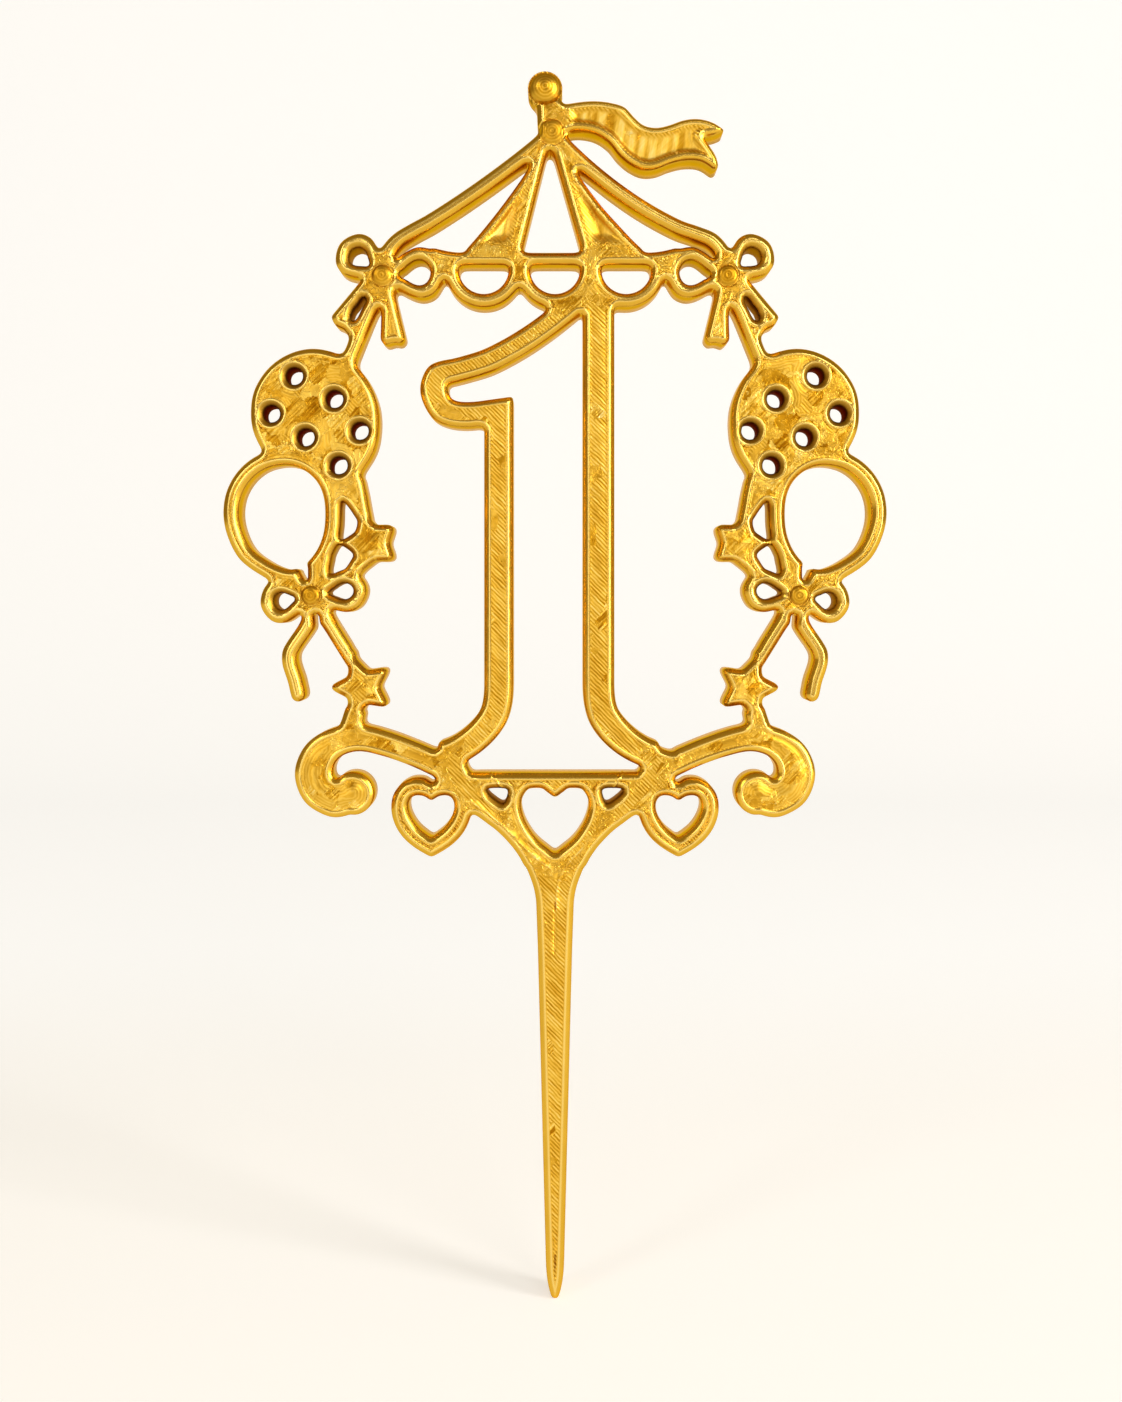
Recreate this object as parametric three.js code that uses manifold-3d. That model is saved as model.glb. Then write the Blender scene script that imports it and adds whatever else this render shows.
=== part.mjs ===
// A gold party topper for a cupcake: an open-outline figure 1 in a wreath of balloons, bows and stars,
// under a little tent roof with a pennant, on a long pick.
// Millimetres. +Z is up and the decorated face looks along -Y. The origin is on the pick's centre line
// at the height of the cake's top, with the pick below it and the decoration above.
import * as THREE from 'three';
import { mergeVertices } from 'three/addons/utils/BufferGeometryUtils.js';
import Module from 'manifold-3d';

const wasm = await Module();
wasm.setup();

// The plate that every flat element is made in
const plateThickness = 3;
const edgeRound = 0.35;
const seam = 0.3;
const cutOverrun = 1;

// Pick
const pickLength = 33;
const pickShoulderHeight = 2.9;
const pickShoulderWidth = 4.62;
const pickNeckWidth = 3.1;
const pickFlareHeight = 1.3;
const pickFlareWidth = 3.5;
const pickTaperDrop = 3.75;
const pickTaperWidth = 2.83;
const pickEndWidth = 1.5;
const pickPointLength = 3.2;
const pickTipLength = 0.9;
const pickTipWidth = 1;
const pickPointWidth = 0.5;
const pickPointThickness = 2.5;

// Cradle above the pick
const heartStroke = 1.25;
const heartHoleWidth = 5.7;
const heartHoleHeight = 5.55;
const heartNotch = 0.83;
const heartNotchWidth = 1.9;
const barHeight = 1.25;
const armWidth = 1.95;
const armSpread = 8.9;
const armRiseOverBar = 2;

// Heart pendants
const pendantWidth = 6.65;
const pendantHeight = 6.6;
const pendantHoleWidth = 3.9;
const pendantHoleHeight = 3.6;
const pendantNotch = 0.5;
const pendantTipWall = 1.6;
const pendantOutset = 1.44;
const pendantTipDrop = 5.8;

// Scrolls
const scrollLength = 11.3;
const scrollHeight = 5;
const scrollDrop = 4.1;
const scrollStroke = 1.92;
const scrollSwell = 3.05;
const curlRadius = 1.78;

// Figure 1
const leftStemWidth = 2.4;
const rightStemWidth = 2.6;
const hookWidth = 1.95;
const footEndWidth = 2.25;
const footSink = 0.55;
const footRise = 6.5;
const figureShift = 0.53;
const stemSpacing = 8.35;
const stemTopLap = 1.6;
const hookTopLap = 1.2;
const hookReach = 5.4;
const hookRise = 10;

// Lower stars, their rods and stems
const lowerStarRise = 4.25;
const lowerRodInset = 0.54;
const lowerStarRadius = 2.95;
const lowerStarNotchRadius = 1.5;
const rodWidth = 1.15;
const scrollStemWidth = 1.7;
const starProud = 0.35;
const starEdge = 0.3;

// Lower bows
const lowerKnotOutset = 4.25;
const lowerKnotRise = 7.7;
const lowerKnotRadius = 0.85;
const lowerOuterLoopLength = 4.3;
const lowerOuterLoopBreadth = 3.6;
const lowerInnerLoopLength = 4.65;
const lowerInnerLoopBreadth = 3.5;
const bowStroke = 1.05;
const ribbonWidth = 1.2;
const ribbonDrop = 8.3;
const ribbonSway = 1.8;
const knotDome = 0.4;
const knotDimple = 0.25;

// Balloons
const ringWidth = 9.75;
const ringHeight = 11.18;
const ringRim = 1.28;
const ringOutset = 2.41;
const ringClearOfKnot = 1.01;
const dottedRadius = 5.33;
const dottedInset = 2.6;
const dottedRise = 2.98;
const stringNeckWidth = 2.2;
const stringWidth = 1.25;
const lowerStringWidth = 1.35;

// Side stars
const sideStarInset = 2.5;
const sideStarRadius = 2.65;
const sideStarNotchRadius = 1.58;

// Upper bows
const upperKnotInset = 5.77;
const upperKnotRise = 11.54;
const upperKnotRadius = 0.9;
const upperOuterLoopLength = 4.45;
const upperOuterLoopBreadth = 3.75;
const upperInnerLoopLength = 5.1;
const upperInnerLoopBreadth = 4.25;
const outerTailLength = 5.4;
const outerTailEndWidth = 2.4;
const innerTailLength = 5.65;
const innerTailEndWidth = 2;

// Tent roof
const eaveRise = 1.43;
const roofHeight = 10.55;
const bossReach = 0.25;
const bossRadius = 1.08;
const bossRimRadius = 0.55;
const bossDimpleRadius = 0.36;
const ribWidth = 1.16;
const ribEndInset = 1.28;
const ribEndRise = 1.58;
const leftRibSag = 0.46;
const rightRibSag = 1.2;
const strapOutset = 0.9;
const strapRise = 0.45;
const eaveWidth = 0.98;
const eaveEndInset = 2.45;
const eaveEndRise = 0.53;
const panelTopDrop = 1.35;
const panelTopReach = 0.92;
const panelApexReach = 0.42;
const panelApexInset = 0.13;
const panelTopSlope = 0.3;
const panelInnerReach = 2.66;
const panelOuterReach = 8.1;
const leftPanelSag = 0.36;
const rightPanelSag = 0.66;
const panelRecess = 0.6;
const facetInset = 0.75;
const facetOuterInset = 0.9;
const facetRise = 1.05;
const facetHeight = 3;

// Valance
const valanceClearance = 0.38;
const scallopOverlap = 0.22;
const scallopWidth = 1.08;
const scallopDrop = 0.84;

// Mast, ball and pennant
const mastReach = 0.5;
const mastWidth = 1.95;
const ballReach = 0.83;
const ballRise = 3.7;
const ballRadius = 1.44;
const ballDome = 0.3;
const pennantLength = 13.8;
const pennantHeight = 5.6;
const pennantDrop = 3.15;
const pennantRim = 0.62;
const pennantRecess = 0.35;

// Facets of the smooth lines
const runSteps = 3;
const loopSteps = 2;
const arcSteps = 12;
const turnedSteps = 16;

const frontFace = -plateThickness / 2;
const backFace = plateThickness / 2;
const gold = { color: 0xd9a638, roughness: 0.34, metalness: 0.75 };

// Lines in the plate are lists of { x, z, w }: a place and, where the line is a stroke, its width there.
const point = (x, z, w = 0) => ({ x, z, w });
const degrees = (turn) => THREE.MathUtils.degToRad(turn);
const polar = (centre, radius, turn) =>
  point(centre.x + radius * Math.cos(degrees(turn)), centre.z + radius * Math.sin(degrees(turn)));

// Shares of a width and a height, laid out from an origin
function spread(shares, origin, width, height) {
  return shares.map(([u, v, w = 0]) => point(origin.x + u * width, origin.z + v * height, w));
}

// A smooth line through the points
function smooth(points, closed = false, steps = runSteps) {
  const line = new THREE.CatmullRomCurve3(
    points.map((p) => new THREE.Vector3(p.x, p.z, p.w)),
    closed,
    'centripetal',
  );
  const count = steps * (closed ? points.length : points.length - 1);
  const sampled = line.getPoints(count).map((p) => point(p.x, p.y, p.z));
  return closed ? sampled.slice(0, -1) : sampled;
}

function signedArea(ring) {
  return ring.reduce((sum, p, i) => {
    const next = ring[(i + 1) % ring.length];
    return sum + (p.x * next.z - next.x * p.z) / 2;
  }, 0);
}

const counterclockwise = (ring) => (signedArea(ring) < 0 ? [...ring].reverse() : ring);
const mirrored = (side, points) => points.map((p) => point(side * p.x, p.z, p.w));

// The unit vector from one point to another
function heading(from, to) {
  const length = Math.hypot(to.x - from.x, to.z - from.z) || 1;
  return { x: (to.x - from.x) / length, z: (to.z - from.z) / length };
}

// Where a line's edge runs at a point: the mitre of the headings before and after it
const sharpestMitre = 0.5;
function mitre(before, after) {
  const x = before.z + after.z;
  const z = -before.x - after.x;
  const length = Math.hypot(x, z) || 1;
  const lean = Math.max(sharpestMitre, (x * before.z - z * before.x) / length);
  return { x: x / length / lean, z: z / length / lean };
}

// A counterclockwise ring with every edge moved outwards. An edge that would turn back shrinks to a point.
function grown(ring, distance) {
  const moved = ring.map((p, i) => {
    const last = ring[(i + ring.length - 1) % ring.length];
    const next = ring[(i + 1) % ring.length];
    const out = mitre(heading(last, p), heading(p, next));
    return point(p.x + out.x * distance, p.z + out.z * distance);
  });
  ring.forEach((p, i) => {
    const j = (i + 1) % ring.length;
    const along = heading(p, ring[j]);
    const kept = (moved[j].x - moved[i].x) * along.x + (moved[j].z - moved[i].z) * along.z;
    if (kept > 0) return;
    const middle = point((moved[i].x + moved[j].x) / 2, (moved[i].z + moved[j].z) / 2);
    moved[i] = middle;
    moved[j] = middle;
  });
  return moved;
}

// The ring round an open line that carries its widths
function stroke(line) {
  const sides = line.map((p, i) => {
    const before = heading(line[Math.max(i - 1, 0)], i ? p : line[1]);
    const after = i < line.length - 1 ? heading(p, line[i + 1]) : before;
    const out = mitre(before, after);
    return [
      point(p.x + (out.x * p.w) / 2, p.z + (out.z * p.w) / 2),
      point(p.x - (out.x * p.w) / 2, p.z - (out.z * p.w) / 2),
    ];
  });
  return counterclockwise([...sides.map(([a]) => a), ...sides.map(([, b]) => b).reverse()]);
}

function roundEnd(centre, radius) {
  return Array.from({ length: arcSteps }, (_, i) => polar(centre, radius, (360 * i) / arcSteps));
}

// A closed solid from the corners of its triangles, without those that shrank to a line
function solidOf(positions) {
  const geometry = new THREE.BufferGeometry();
  geometry.setAttribute('position', new THREE.Float32BufferAttribute(positions, 3));
  const merged = mergeVertices(geometry);
  const corners = merged.index.array;
  const triVerts = [];
  for (let i = 0; i < corners.length; i += 3) {
    const [a, b, c] = corners.slice(i, i + 3);
    if (a !== b && b !== c && c !== a) triVerts.push(a, b, c);
  }
  return new wasm.Manifold(
    new wasm.Mesh({
      numProp: 3,
      vertProperties: merged.attributes.position.array,
      triVerts: new Uint32Array(triVerts),
    }),
  );
}

// The wall between two rings of equal counts
function wallBetween(corner, near, far, outwards) {
  near.forEach((p, i) => {
    const j = (i + 1) % near.length;
    const faces = outwards
      ? [p, far[i], near[j], near[j], far[i], far[j]]
      : [p, near[j], far[i], near[j], far[j], far[i]];
    faces.forEach(corner);
  });
}

// The triangles that fill a counterclockwise outline with counterclockwise holes, as corners of each face
function filled(contours) {
  const [outline, ...holes] = contours;
  const turnedHoles = holes.map((ring) => [...ring].reverse());
  const flat = (ring) => ring.map((p) => new THREE.Vector2(p.x, p.z));
  const corners = [outline, ...turnedHoles].flat();
  return THREE.ShapeUtils.triangulateShape(flat(outline), turnedHoles.map(flat)).map((face) =>
    face.map((k) => corners[k]),
  );
}

// A flat element: a counterclockwise outline with holes, square at the back and chamfered at the front
function plate(outline, { holes = [], front = frontFace, back = backFace, bevel = edgeRound } = {}) {
  const contours = [outline, ...holes].map(counterclockwise);
  const faces = contours.map((ring, i) => grown(ring, i ? bevel : -bevel));
  const positions = [];
  const corner = (p) => positions.push(p.x, p.y, p.z);
  const atDepth = (ring, y) => ring.map((p) => ({ x: p.x, y, z: p.z }));
  filled(faces).forEach((face) => atDepth(face, front).forEach(corner));
  filled(contours).forEach(([a, b, c]) => atDepth([a, c, b], back).forEach(corner));
  contours.forEach((ring, i) => {
    const edge = atDepth(ring, front + bevel);
    if (bevel) wallBetween(corner, atDepth(faces[i], front), edge, !i);
    wallBetween(corner, edge, atDepth(ring, back), !i);
  });
  return solidOf(positions);
}

// A cut that goes right through the plate
function through(outline) {
  return plate(outline, { front: frontFace - cutOverrun, back: backFace + cutOverrun, bevel: 0 });
}

// The room that elements take from their neighbours
function room(...outlines) {
  return join(outlines.map((ring) => through(grown(counterclockwise(ring), seam))));
}

function join(solids) {
  return solids.reduce((sum, solid) => sum.add(solid));
}

// A round element turned about an axis through the plate. The profile runs from the back to the front
// as [radius, depth in front of the back face].
function turned(centre, profile) {
  const lathe = new THREE.LatheGeometry(
    profile.map(([radius, depth]) => new THREE.Vector2(radius, backFace - depth)).reverse(),
    turnedSteps,
  );
  lathe.translate(centre.x, 0, centre.z);
  return solidOf(lathe.toNonIndexed().getAttribute('position').array);
}

// A knot: a turned stud with a domed front and a small dimple in it
const domeShares = [[0.8, 0.6], [0.5, 1]];
function knot(centre, radius) {
  return turned(centre, [
    [0, 0],
    [radius, 0],
    [radius, plateThickness - edgeRound],
    ...domeShares.map(([u, v]) => [u * radius, plateThickness + v * knotDome]),
    [0, plateThickness + knotDome - knotDimple],
  ]);
}

// A five-pointed star with one tip pointing away from the centre line and ridges from its middle
const tipTurns = [180, 108, 36, -36, -108];
const notchTurn = 36;
function starOutline(centre, tipRadius, notchRadius) {
  return tipTurns.flatMap((turn) => [
    polar(centre, tipRadius, turn),
    polar(centre, notchRadius, turn - notchTurn),
  ]);
}

function star(centre, tipRadius, notchRadius) {
  const outline = counterclockwise(starOutline(centre, tipRadius, notchRadius));
  const positions = [];
  const corner = (p) => positions.push(p.x, p.y, p.z);
  const edge = outline.map((p) => ({ x: p.x, y: frontFace + starEdge, z: p.z }));
  const back = outline.map((p) => ({ x: p.x, y: backFace, z: p.z }));
  const peak = { x: centre.x, y: frontFace - starProud, z: centre.z };
  const heel = { x: centre.x, y: backFace, z: centre.z };
  edge.forEach((p, i) => {
    const j = (i + 1) % edge.length;
    [peak, p, edge[j], heel, back[j], back[i]].forEach(corner);
  });
  wallBetween(corner, edge, back, true);
  return solidOf(positions);
}

// The star and its outline for either side
function handedStar(centre, tipRadius, notchRadius, side) {
  const left = point(-Math.abs(centre.x), centre.z);
  const solid = star(left, tipRadius, notchRadius);
  return {
    outline: mirrored(-side, starOutline(left, tipRadius, notchRadius)),
    solid: side < 0 ? solid : solid.mirror([1, 0, 0]),
  };
}

// Shares of a length and a breadth, laid out from a start along a turn. The side mirrors the breadth.
function laid(shares, start, turn, length, breadth, side = -1) {
  const along = { x: Math.cos(degrees(turn)), z: Math.sin(degrees(turn)) };
  const across = { x: -side * along.z, z: side * along.x };
  return shares.map(([u, v]) =>
    point(
      start.x + along.x * u * length + across.x * v * breadth,
      start.z + along.z * u * length + across.z * v * breadth,
    ),
  );
}

// A teardrop, given as half of it from its point to its far end
const teardropShares = [[0, 0.1], [0.16, 0.2], [0.36, 0.38], [0.6, 0.5], [0.82, 0.43], [0.96, 0.2]];
function teardrop(start, turn, length, breadth) {
  const back = teardropShares.map(([u, v]) => [u, -v]).reverse();
  const points = laid([...teardropShares, [1, 0], ...back], start, turn, length, breadth);
  return counterclockwise(smooth(points, true, loopSteps));
}

// A bow loop that starts in its knot, with a hole that starts beside the knot
function bowLoop(knotPlace, knotRadius, turn, length, breadth) {
  const outline = teardrop(knotPlace, turn, length, breadth);
  const start = knotRadius + bowStroke / 2;
  const holeStart = polar(knotPlace, start, turn);
  const hole = teardrop(holeStart, turn, length - start - bowStroke, breadth - 2 * bowStroke);
  return { outline, solid: plate(outline, { holes: [hole] }) };
}

// The upper bow's two ribbon ends, from the knot to their swallow-tailed ends
const outerTailShares = [
  [0.05, 0.2], [0.05, -0.15], [0.31, -0.02], [0.7, 0.07], [0.79, -0.02], [0.84, -0.4], [0.97, -0.54],
  [1.05, -0.4], [1.02, -0.12], [1.06, 0.15], [1, 0.48], [0.36, 0.47],
];
const innerTailShares = [
  [0.05, 0.25], [0.05, -0.3], [0.23, -0.36], [0.97, -0.53], [1.04, -0.3], [1, -0.02], [1.03, 0.3],
  [0.94, 0.5], [0.36, 0.18],
];

function rod(from, to, width) {
  return stroke([point(from.x, from.z, width), point(to.x, to.z, width)]);
}

// A heart from its tip: shares of half its width and of its height, tip to lobe; the notch comes last
const heartShares = [
  [0, 0], [0.25, 0.1], [0.56, 0.24], [0.88, 0.5], [1, 0.74], [0.95, 0.87], [0.83, 0.96], [0.62, 1],
  [0.34, 0.98],
];
const fullHeartShares = [
  [0, 0], [0.35, 0.1], [0.65, 0.22], [0.88, 0.38], [1, 0.58], [0.96, 0.78], [0.75, 0.93], [0.45, 1],
  [0.2, 0.99],
];
function heart(tip, width, height, notch, shares = heartShares) {
  const right = smooth(spread(shares, tip, width / 2, height), false, loopSteps);
  const left = right.slice(1).map((p) => point(2 * tip.x - p.x, p.z)).reverse();
  return counterclockwise([...right, point(tip.x, tip.z + height - notch), ...left]);
}

// The two sides are mirror images, apart from the roof
const sides = [['left', -1], ['right', 1]];
const pieces = new Map();

function addPiece(name, solid, ...cutters) {
  pieces.set(name, cutters.length ? solid.subtract(join(cutters)) : solid);
}

// Pick: a lofted taper with a flat back and a chamfered front, thinner at its point
const pickTip = -pickLength;
const pickPointTop = pickTip + pickPointLength;
const pickSections = [
  { z: pickShoulderHeight, width: pickShoulderWidth },
  { z: pickFlareHeight, width: pickFlareWidth },
  { z: 0, width: pickNeckWidth },
  { z: -pickTaperDrop, width: pickTaperWidth },
  { z: pickPointTop, width: pickEndWidth },
  { z: pickTip + pickTipLength, width: pickTipWidth },
  { z: pickTip, width: pickPointWidth },
];

function pickRing({ z, width }) {
  const pointShare = Math.max(0, (pickPointTop - z) / pickPointLength);
  const front = backFace - THREE.MathUtils.lerp(plateThickness, pickPointThickness, pointShare);
  const bevel = Math.min(edgeRound, width / 4);
  const half = width / 2;
  return [
    { x: -half, y: backFace, z },
    { x: half, y: backFace, z },
    { x: half, y: front + bevel, z },
    { x: half - bevel, y: front, z },
    { x: -half + bevel, y: front, z },
    { x: -half, y: front + bevel, z },
  ];
}

function loftedPick() {
  const rings = pickSections.map(pickRing);
  const positions = [];
  const corner = (p) => positions.push(p.x, p.y, p.z);
  const fan = (ring) => ring.slice(1, -1).map((p, i) => [ring[0], p, ring[i + 2]]);
  fan(rings[0]).forEach(([a, b, c]) => [a, c, b].forEach(corner));
  fan(rings.at(-1)).forEach((face) => face.forEach(corner));
  rings.slice(1).forEach((ring, i) => wallBetween(corner, rings[i], ring, false));
  return solidOf(positions);
}

const pickRoom = room([
  point(-pickShoulderWidth, pickShoulderHeight - pickLength),
  point(pickShoulderWidth, pickShoulderHeight - pickLength),
  point(pickShoulderWidth, pickShoulderHeight),
  point(-pickShoulderWidth, pickShoulderHeight),
]);

// Centre heart, open at the top, where the bar closes it with the heart's notch
const heartTip = point(0, pickShoulderHeight + heartStroke);
const barBase = heartTip.z + heartHoleHeight;
const barTop = barBase + barHeight;
const barEndShare = 0.88;
const barEnd = armSpread * barEndShare;
const barOutline = [
  point(-barEnd, barBase),
  point(barEnd, barBase),
  point(barEnd, barTop),
  point(-barEnd, barTop),
];
const heartHole = heart(heartTip, heartHoleWidth, heartHoleHeight, heartNotch);
const heartOutline = heart(
  point(0, heartTip.z - heartStroke),
  heartHoleWidth + 2 * heartStroke,
  heartHoleHeight + 2 * heartStroke,
  heartNotch,
  fullHeartShares,
);
const notchOutline = [
  point(-heartNotchWidth / 2, heartTip.z + heartHoleHeight - heartNotch),
  point(heartNotchWidth / 2, heartTip.z + heartHoleHeight - heartNotch),
  point(heartNotchWidth / 2, barBase + barHeight / 2),
  point(-heartNotchWidth / 2, barBase + barHeight / 2),
];
addPiece('centre_heart', plate(heartOutline, { holes: [heartHole] }), room(barOutline, notchOutline));
addPiece('pick', loftedPick(), room(heartOutline));

// Arms of the cradle: from beside the figure's feet down to the pick's shoulder
const armShares = [
  [-1, 1], [-0.9, 0.82], [-0.705, 0.652], [-0.478, 0.532], [-0.3, 0.402], [-0.178, 0.265], [-0.125, 0.15],
];
const armRise = barTop + armRiseOverBar;
const armOutlines = {};
for (const [word, side] of sides) {
  const line = mirrored(-side, spread(armShares, point(0, 0), armSpread, armRise));
  armOutlines[word] = stroke(smooth(line.map((p) => point(p.x, p.z, armWidth)), false, loopSteps));
  addPiece(`${word}_cradle_arm`, plate(armOutlines[word]), room(heartOutline), pickRoom);
}
addPiece(
  'base_bar',
  plate(barOutline).add(plate(notchOutline)),
  through(heartHole),
  room(armOutlines.left, armOutlines.right),
);

// The places of the wreath, each one measured from the piece below it
const starShare = [0.64, 1];
const stemFootShare = [0.757, 0.98];
const sideStarShare = 0.288;
const layScroll = (shares, side) =>
  spread(shares, point(side * armSpread, armRise - scrollDrop), side * scrollLength, scrollHeight);
const wreath = {};
for (const [word, side] of sides) {
  const [overScroll, stemFoot] = layScroll([starShare, stemFootShare], side);
  const away = (from, outset, rise) => point(from.x + side * outset, from.z + rise);
  const lowerStar = away(overScroll, 0, lowerStarRise);
  const lowerKnot = away(lowerStar, lowerKnotOutset, lowerKnotRise);
  const ring = away(lowerKnot, ringOutset, ringHeight / 2 + ringClearOfKnot);
  const dotted = away(ring, -dottedInset, ringHeight / 2 + dottedRise);
  const starRise = THREE.MathUtils.lerp(lowerKnot.z, dotted.z, sideStarShare) - ring.z;
  const sideStar = away(ring, -ringWidth / 2 - sideStarInset, starRise);
  const upperKnot = away(dotted, -upperKnotInset, upperKnotRise);
  wreath[word] = { stemFoot, lowerStar, lowerKnot, ring, sideStar, dotted, upperKnot };
}
const upperKnotReach = wreath.right.upperKnot.x;
const eaveHeight = wreath.right.upperKnot.z + eaveRise;
const ribEndReach = upperKnotReach - ribEndInset;

// Roof: the boss, the two sagging ribs and the straps that bring them down to the upper knots
const boss = point(-bossReach, eaveHeight + roofHeight);
addPiece(
  'apex_boss',
  turned(boss, [
    [0, 0],
    [bossRadius, 0],
    [bossRadius, plateThickness - edgeRound],
    [bossRadius - edgeRound, plateThickness],
    [bossRimRadius, plateThickness],
    [bossDimpleRadius, plateThickness - knotDimple],
    [0, plateThickness - knotDimple],
  ]),
);
const bossRoom = room(roundEnd(boss, bossRadius));
const ribSags = { left: leftRibSag, right: rightRibSag };
const sagShares = [0, 0.2, 0.4, 0.6, 0.8, 1];
const sagging = (u) => 4 * u * (1 - u);
const ribRooms = {};
for (const [word, side] of sides) {
  const { upperKnot } = wreath[word];
  const end = point(side * ribEndReach, eaveHeight + ribEndRise);
  const line = sagShares.map((u) =>
    point(
      THREE.MathUtils.lerp(boss.x, end.x, u),
      THREE.MathUtils.lerp(boss.z, end.z, u) - ribSags[word] * sagging(u),
      ribWidth,
    ),
  );
  const strap = point(side * (ribEndReach + strapOutset), eaveHeight + strapRise, ribWidth);
  line.push(strap, point(upperKnot.x, upperKnot.z, ribWidth));
  const outline = stroke(smooth(line, false, loopSteps));
  ribRooms[word] = room(outline);
  addPiece(`${word}_upper_bow_knot`, knot(upperKnot, upperKnotRadius));
  addPiece(`${word}_roof_rib`, plate(outline), bossRoom, room(roundEnd(upperKnot, upperKnotRadius)));
}

// Upper bows. Turns are for the left side and are mirrored for the right one. The ribbon ends lean away
// from the rod between them.
const upperOuterLoopTurn = 142;
const upperInnerLoopTurn = 5;
const outerTailLean = -17.4;
const innerTailLean = 31;
const facing = (side, turn) => (side < 0 ? turn : 180 - turn);
const innerLoopRooms = [];
const rodFootShare = [-0.45, 0.604];
for (const [word, side] of sides) {
  const { dotted, upperKnot } = wreath[word];
  const knotRoom = room(roundEnd(upperKnot, upperKnotRadius));
  const outerLoop = bowLoop(
    upperKnot,
    upperKnotRadius,
    facing(side, upperOuterLoopTurn),
    upperOuterLoopLength,
    upperOuterLoopBreadth,
  );
  const innerLoop = bowLoop(
    upperKnot,
    upperKnotRadius,
    facing(side, upperInnerLoopTurn),
    upperInnerLoopLength,
    upperInnerLoopBreadth,
  );
  innerLoopRooms.push(room(innerLoop.outline));
  addPiece(`${word}_upper_bow_outer_loop`, outerLoop.solid, knotRoom, ribRooms[word]);
  addPiece(`${word}_upper_bow_inner_loop`, innerLoop.solid, knotRoom, ribRooms[word]);
  const [rodEnd] = spread([rodFootShare], dotted, side * dottedRadius, dottedRadius);
  const rodOutline = rod(upperKnot, rodEnd, rodWidth);
  const rodTurn = THREE.MathUtils.radToDeg(Math.atan2(rodEnd.z - upperKnot.z, rodEnd.x - upperKnot.x));
  const tailOf = (shares, lean, length, width) =>
    counterclockwise(laid(shares, upperKnot, rodTurn - side * lean, length, width, side));
  const outerTail = tailOf(outerTailShares, outerTailLean, outerTailLength, outerTailEndWidth);
  const innerTail = tailOf(innerTailShares, innerTailLean, innerTailLength, innerTailEndWidth);
  const aroundKnot = [knotRoom, room(rodOutline)];
  addPiece(`${word}_upper_bow_outer_tail`, plate(outerTail), room(outerLoop.outline), ...aroundKnot);
  addPiece(`${word}_upper_bow_inner_tail`, plate(innerTail), room(innerLoop.outline), ...aroundKnot);
  addPiece(`${word}_upper_rod`, plate(rodOutline), knotRoom, room(roundEnd(dotted, dottedRadius)));
}

// Eave bar between the upper bows, and the three scallops below it
const eaveShares = [[-1, 1], [-0.84, 0.24], [-0.68, 0], [0.68, 0], [0.84, 0.24], [1, 1]];
const eaveLine = spread(eaveShares, point(0, eaveHeight), ribEndReach - eaveEndInset, eaveEndRise);
const eaveOutline = stroke(eaveLine.map((p) => point(p.x, p.z, eaveWidth)));
addPiece('eave_bar', plate(eaveOutline), ...innerLoopRooms, ribRooms.left, ribRooms.right);
const eaveRoom = room(eaveOutline);
const scallopRooms = [];
const scallopOpenings = [];
const valanceReach = upperKnotReach - upperInnerLoopLength - valanceClearance;
const scallopWords = ['middle', 'left', 'right'];
const scallopSpacing = (2 * valanceReach) / scallopWords.length;
const scallopRadius = (scallopSpacing - scallopWidth) / 2 + scallopOverlap;
const valanceFoot = eaveHeight - scallopDrop - scallopRadius - scallopWidth / 2;
scallopWords.forEach((word, i) => {
  const centre = point([0, -1, 1][i] * scallopSpacing, eaveHeight - scallopDrop);
  const arc = Array.from({ length: arcSteps + 1 }, (_, k) =>
    polar(centre, scallopRadius, 180 + (180 * k) / arcSteps),
  );
  const line = [
    point(centre.x - scallopRadius, eaveHeight),
    ...arc,
    point(centre.x + scallopRadius, eaveHeight),
  ].map((p) => point(p.x, p.z, scallopWidth));
  const outline = stroke(line);
  addPiece(`${word}_scallop`, plate(outline), eaveRoom, ...innerLoopRooms, ...(i ? [scallopRooms[0]] : []));
  scallopRooms.push(room(outline));
  scallopOpenings.push(through(counterclockwise(line)));
});

// Roof panels: wedges with a straight inner edge, a sagging outer edge and a sunk facet
const panelSags = { left: leftPanelSag, right: rightPanelSag };
for (const [word, side] of sides) {
  const top = point(boss.x + side * panelTopReach, boss.z - panelTopDrop);
  const outer = point(side * panelOuterReach, eaveHeight);
  const inner = point(boss.x + side * panelInnerReach, eaveHeight);
  const outerEdge = sagShares.map((u) =>
    point(
      THREE.MathUtils.lerp(top.x, outer.x, u) - side * panelSags[word] * sagging(u),
      THREE.MathUtils.lerp(top.z, outer.z, u),
    ),
  );
  const innerTop = point(side * panelApexInset - panelApexReach, top.z + panelTopSlope);
  const outline = counterclockwise([...outerEdge, inner, innerTop]);
  const facetFoot = eaveHeight + facetRise;
  const facet = counterclockwise([
    point(inner.x + side * facetInset / 2, facetFoot + facetHeight),
    point(outer.x - side * (facetInset + facetOuterInset), facetFoot),
    point(inner.x + side * facetInset, facetFoot),
  ]);
  const pocket = plate(facet, { front: frontFace - cutOverrun, back: frontFace + panelRecess, bevel: 0 });
  addPiece(`${word}_roof_panel`, plate(outline), bossRoom, ribRooms[word], eaveRoom, pocket);
}

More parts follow.
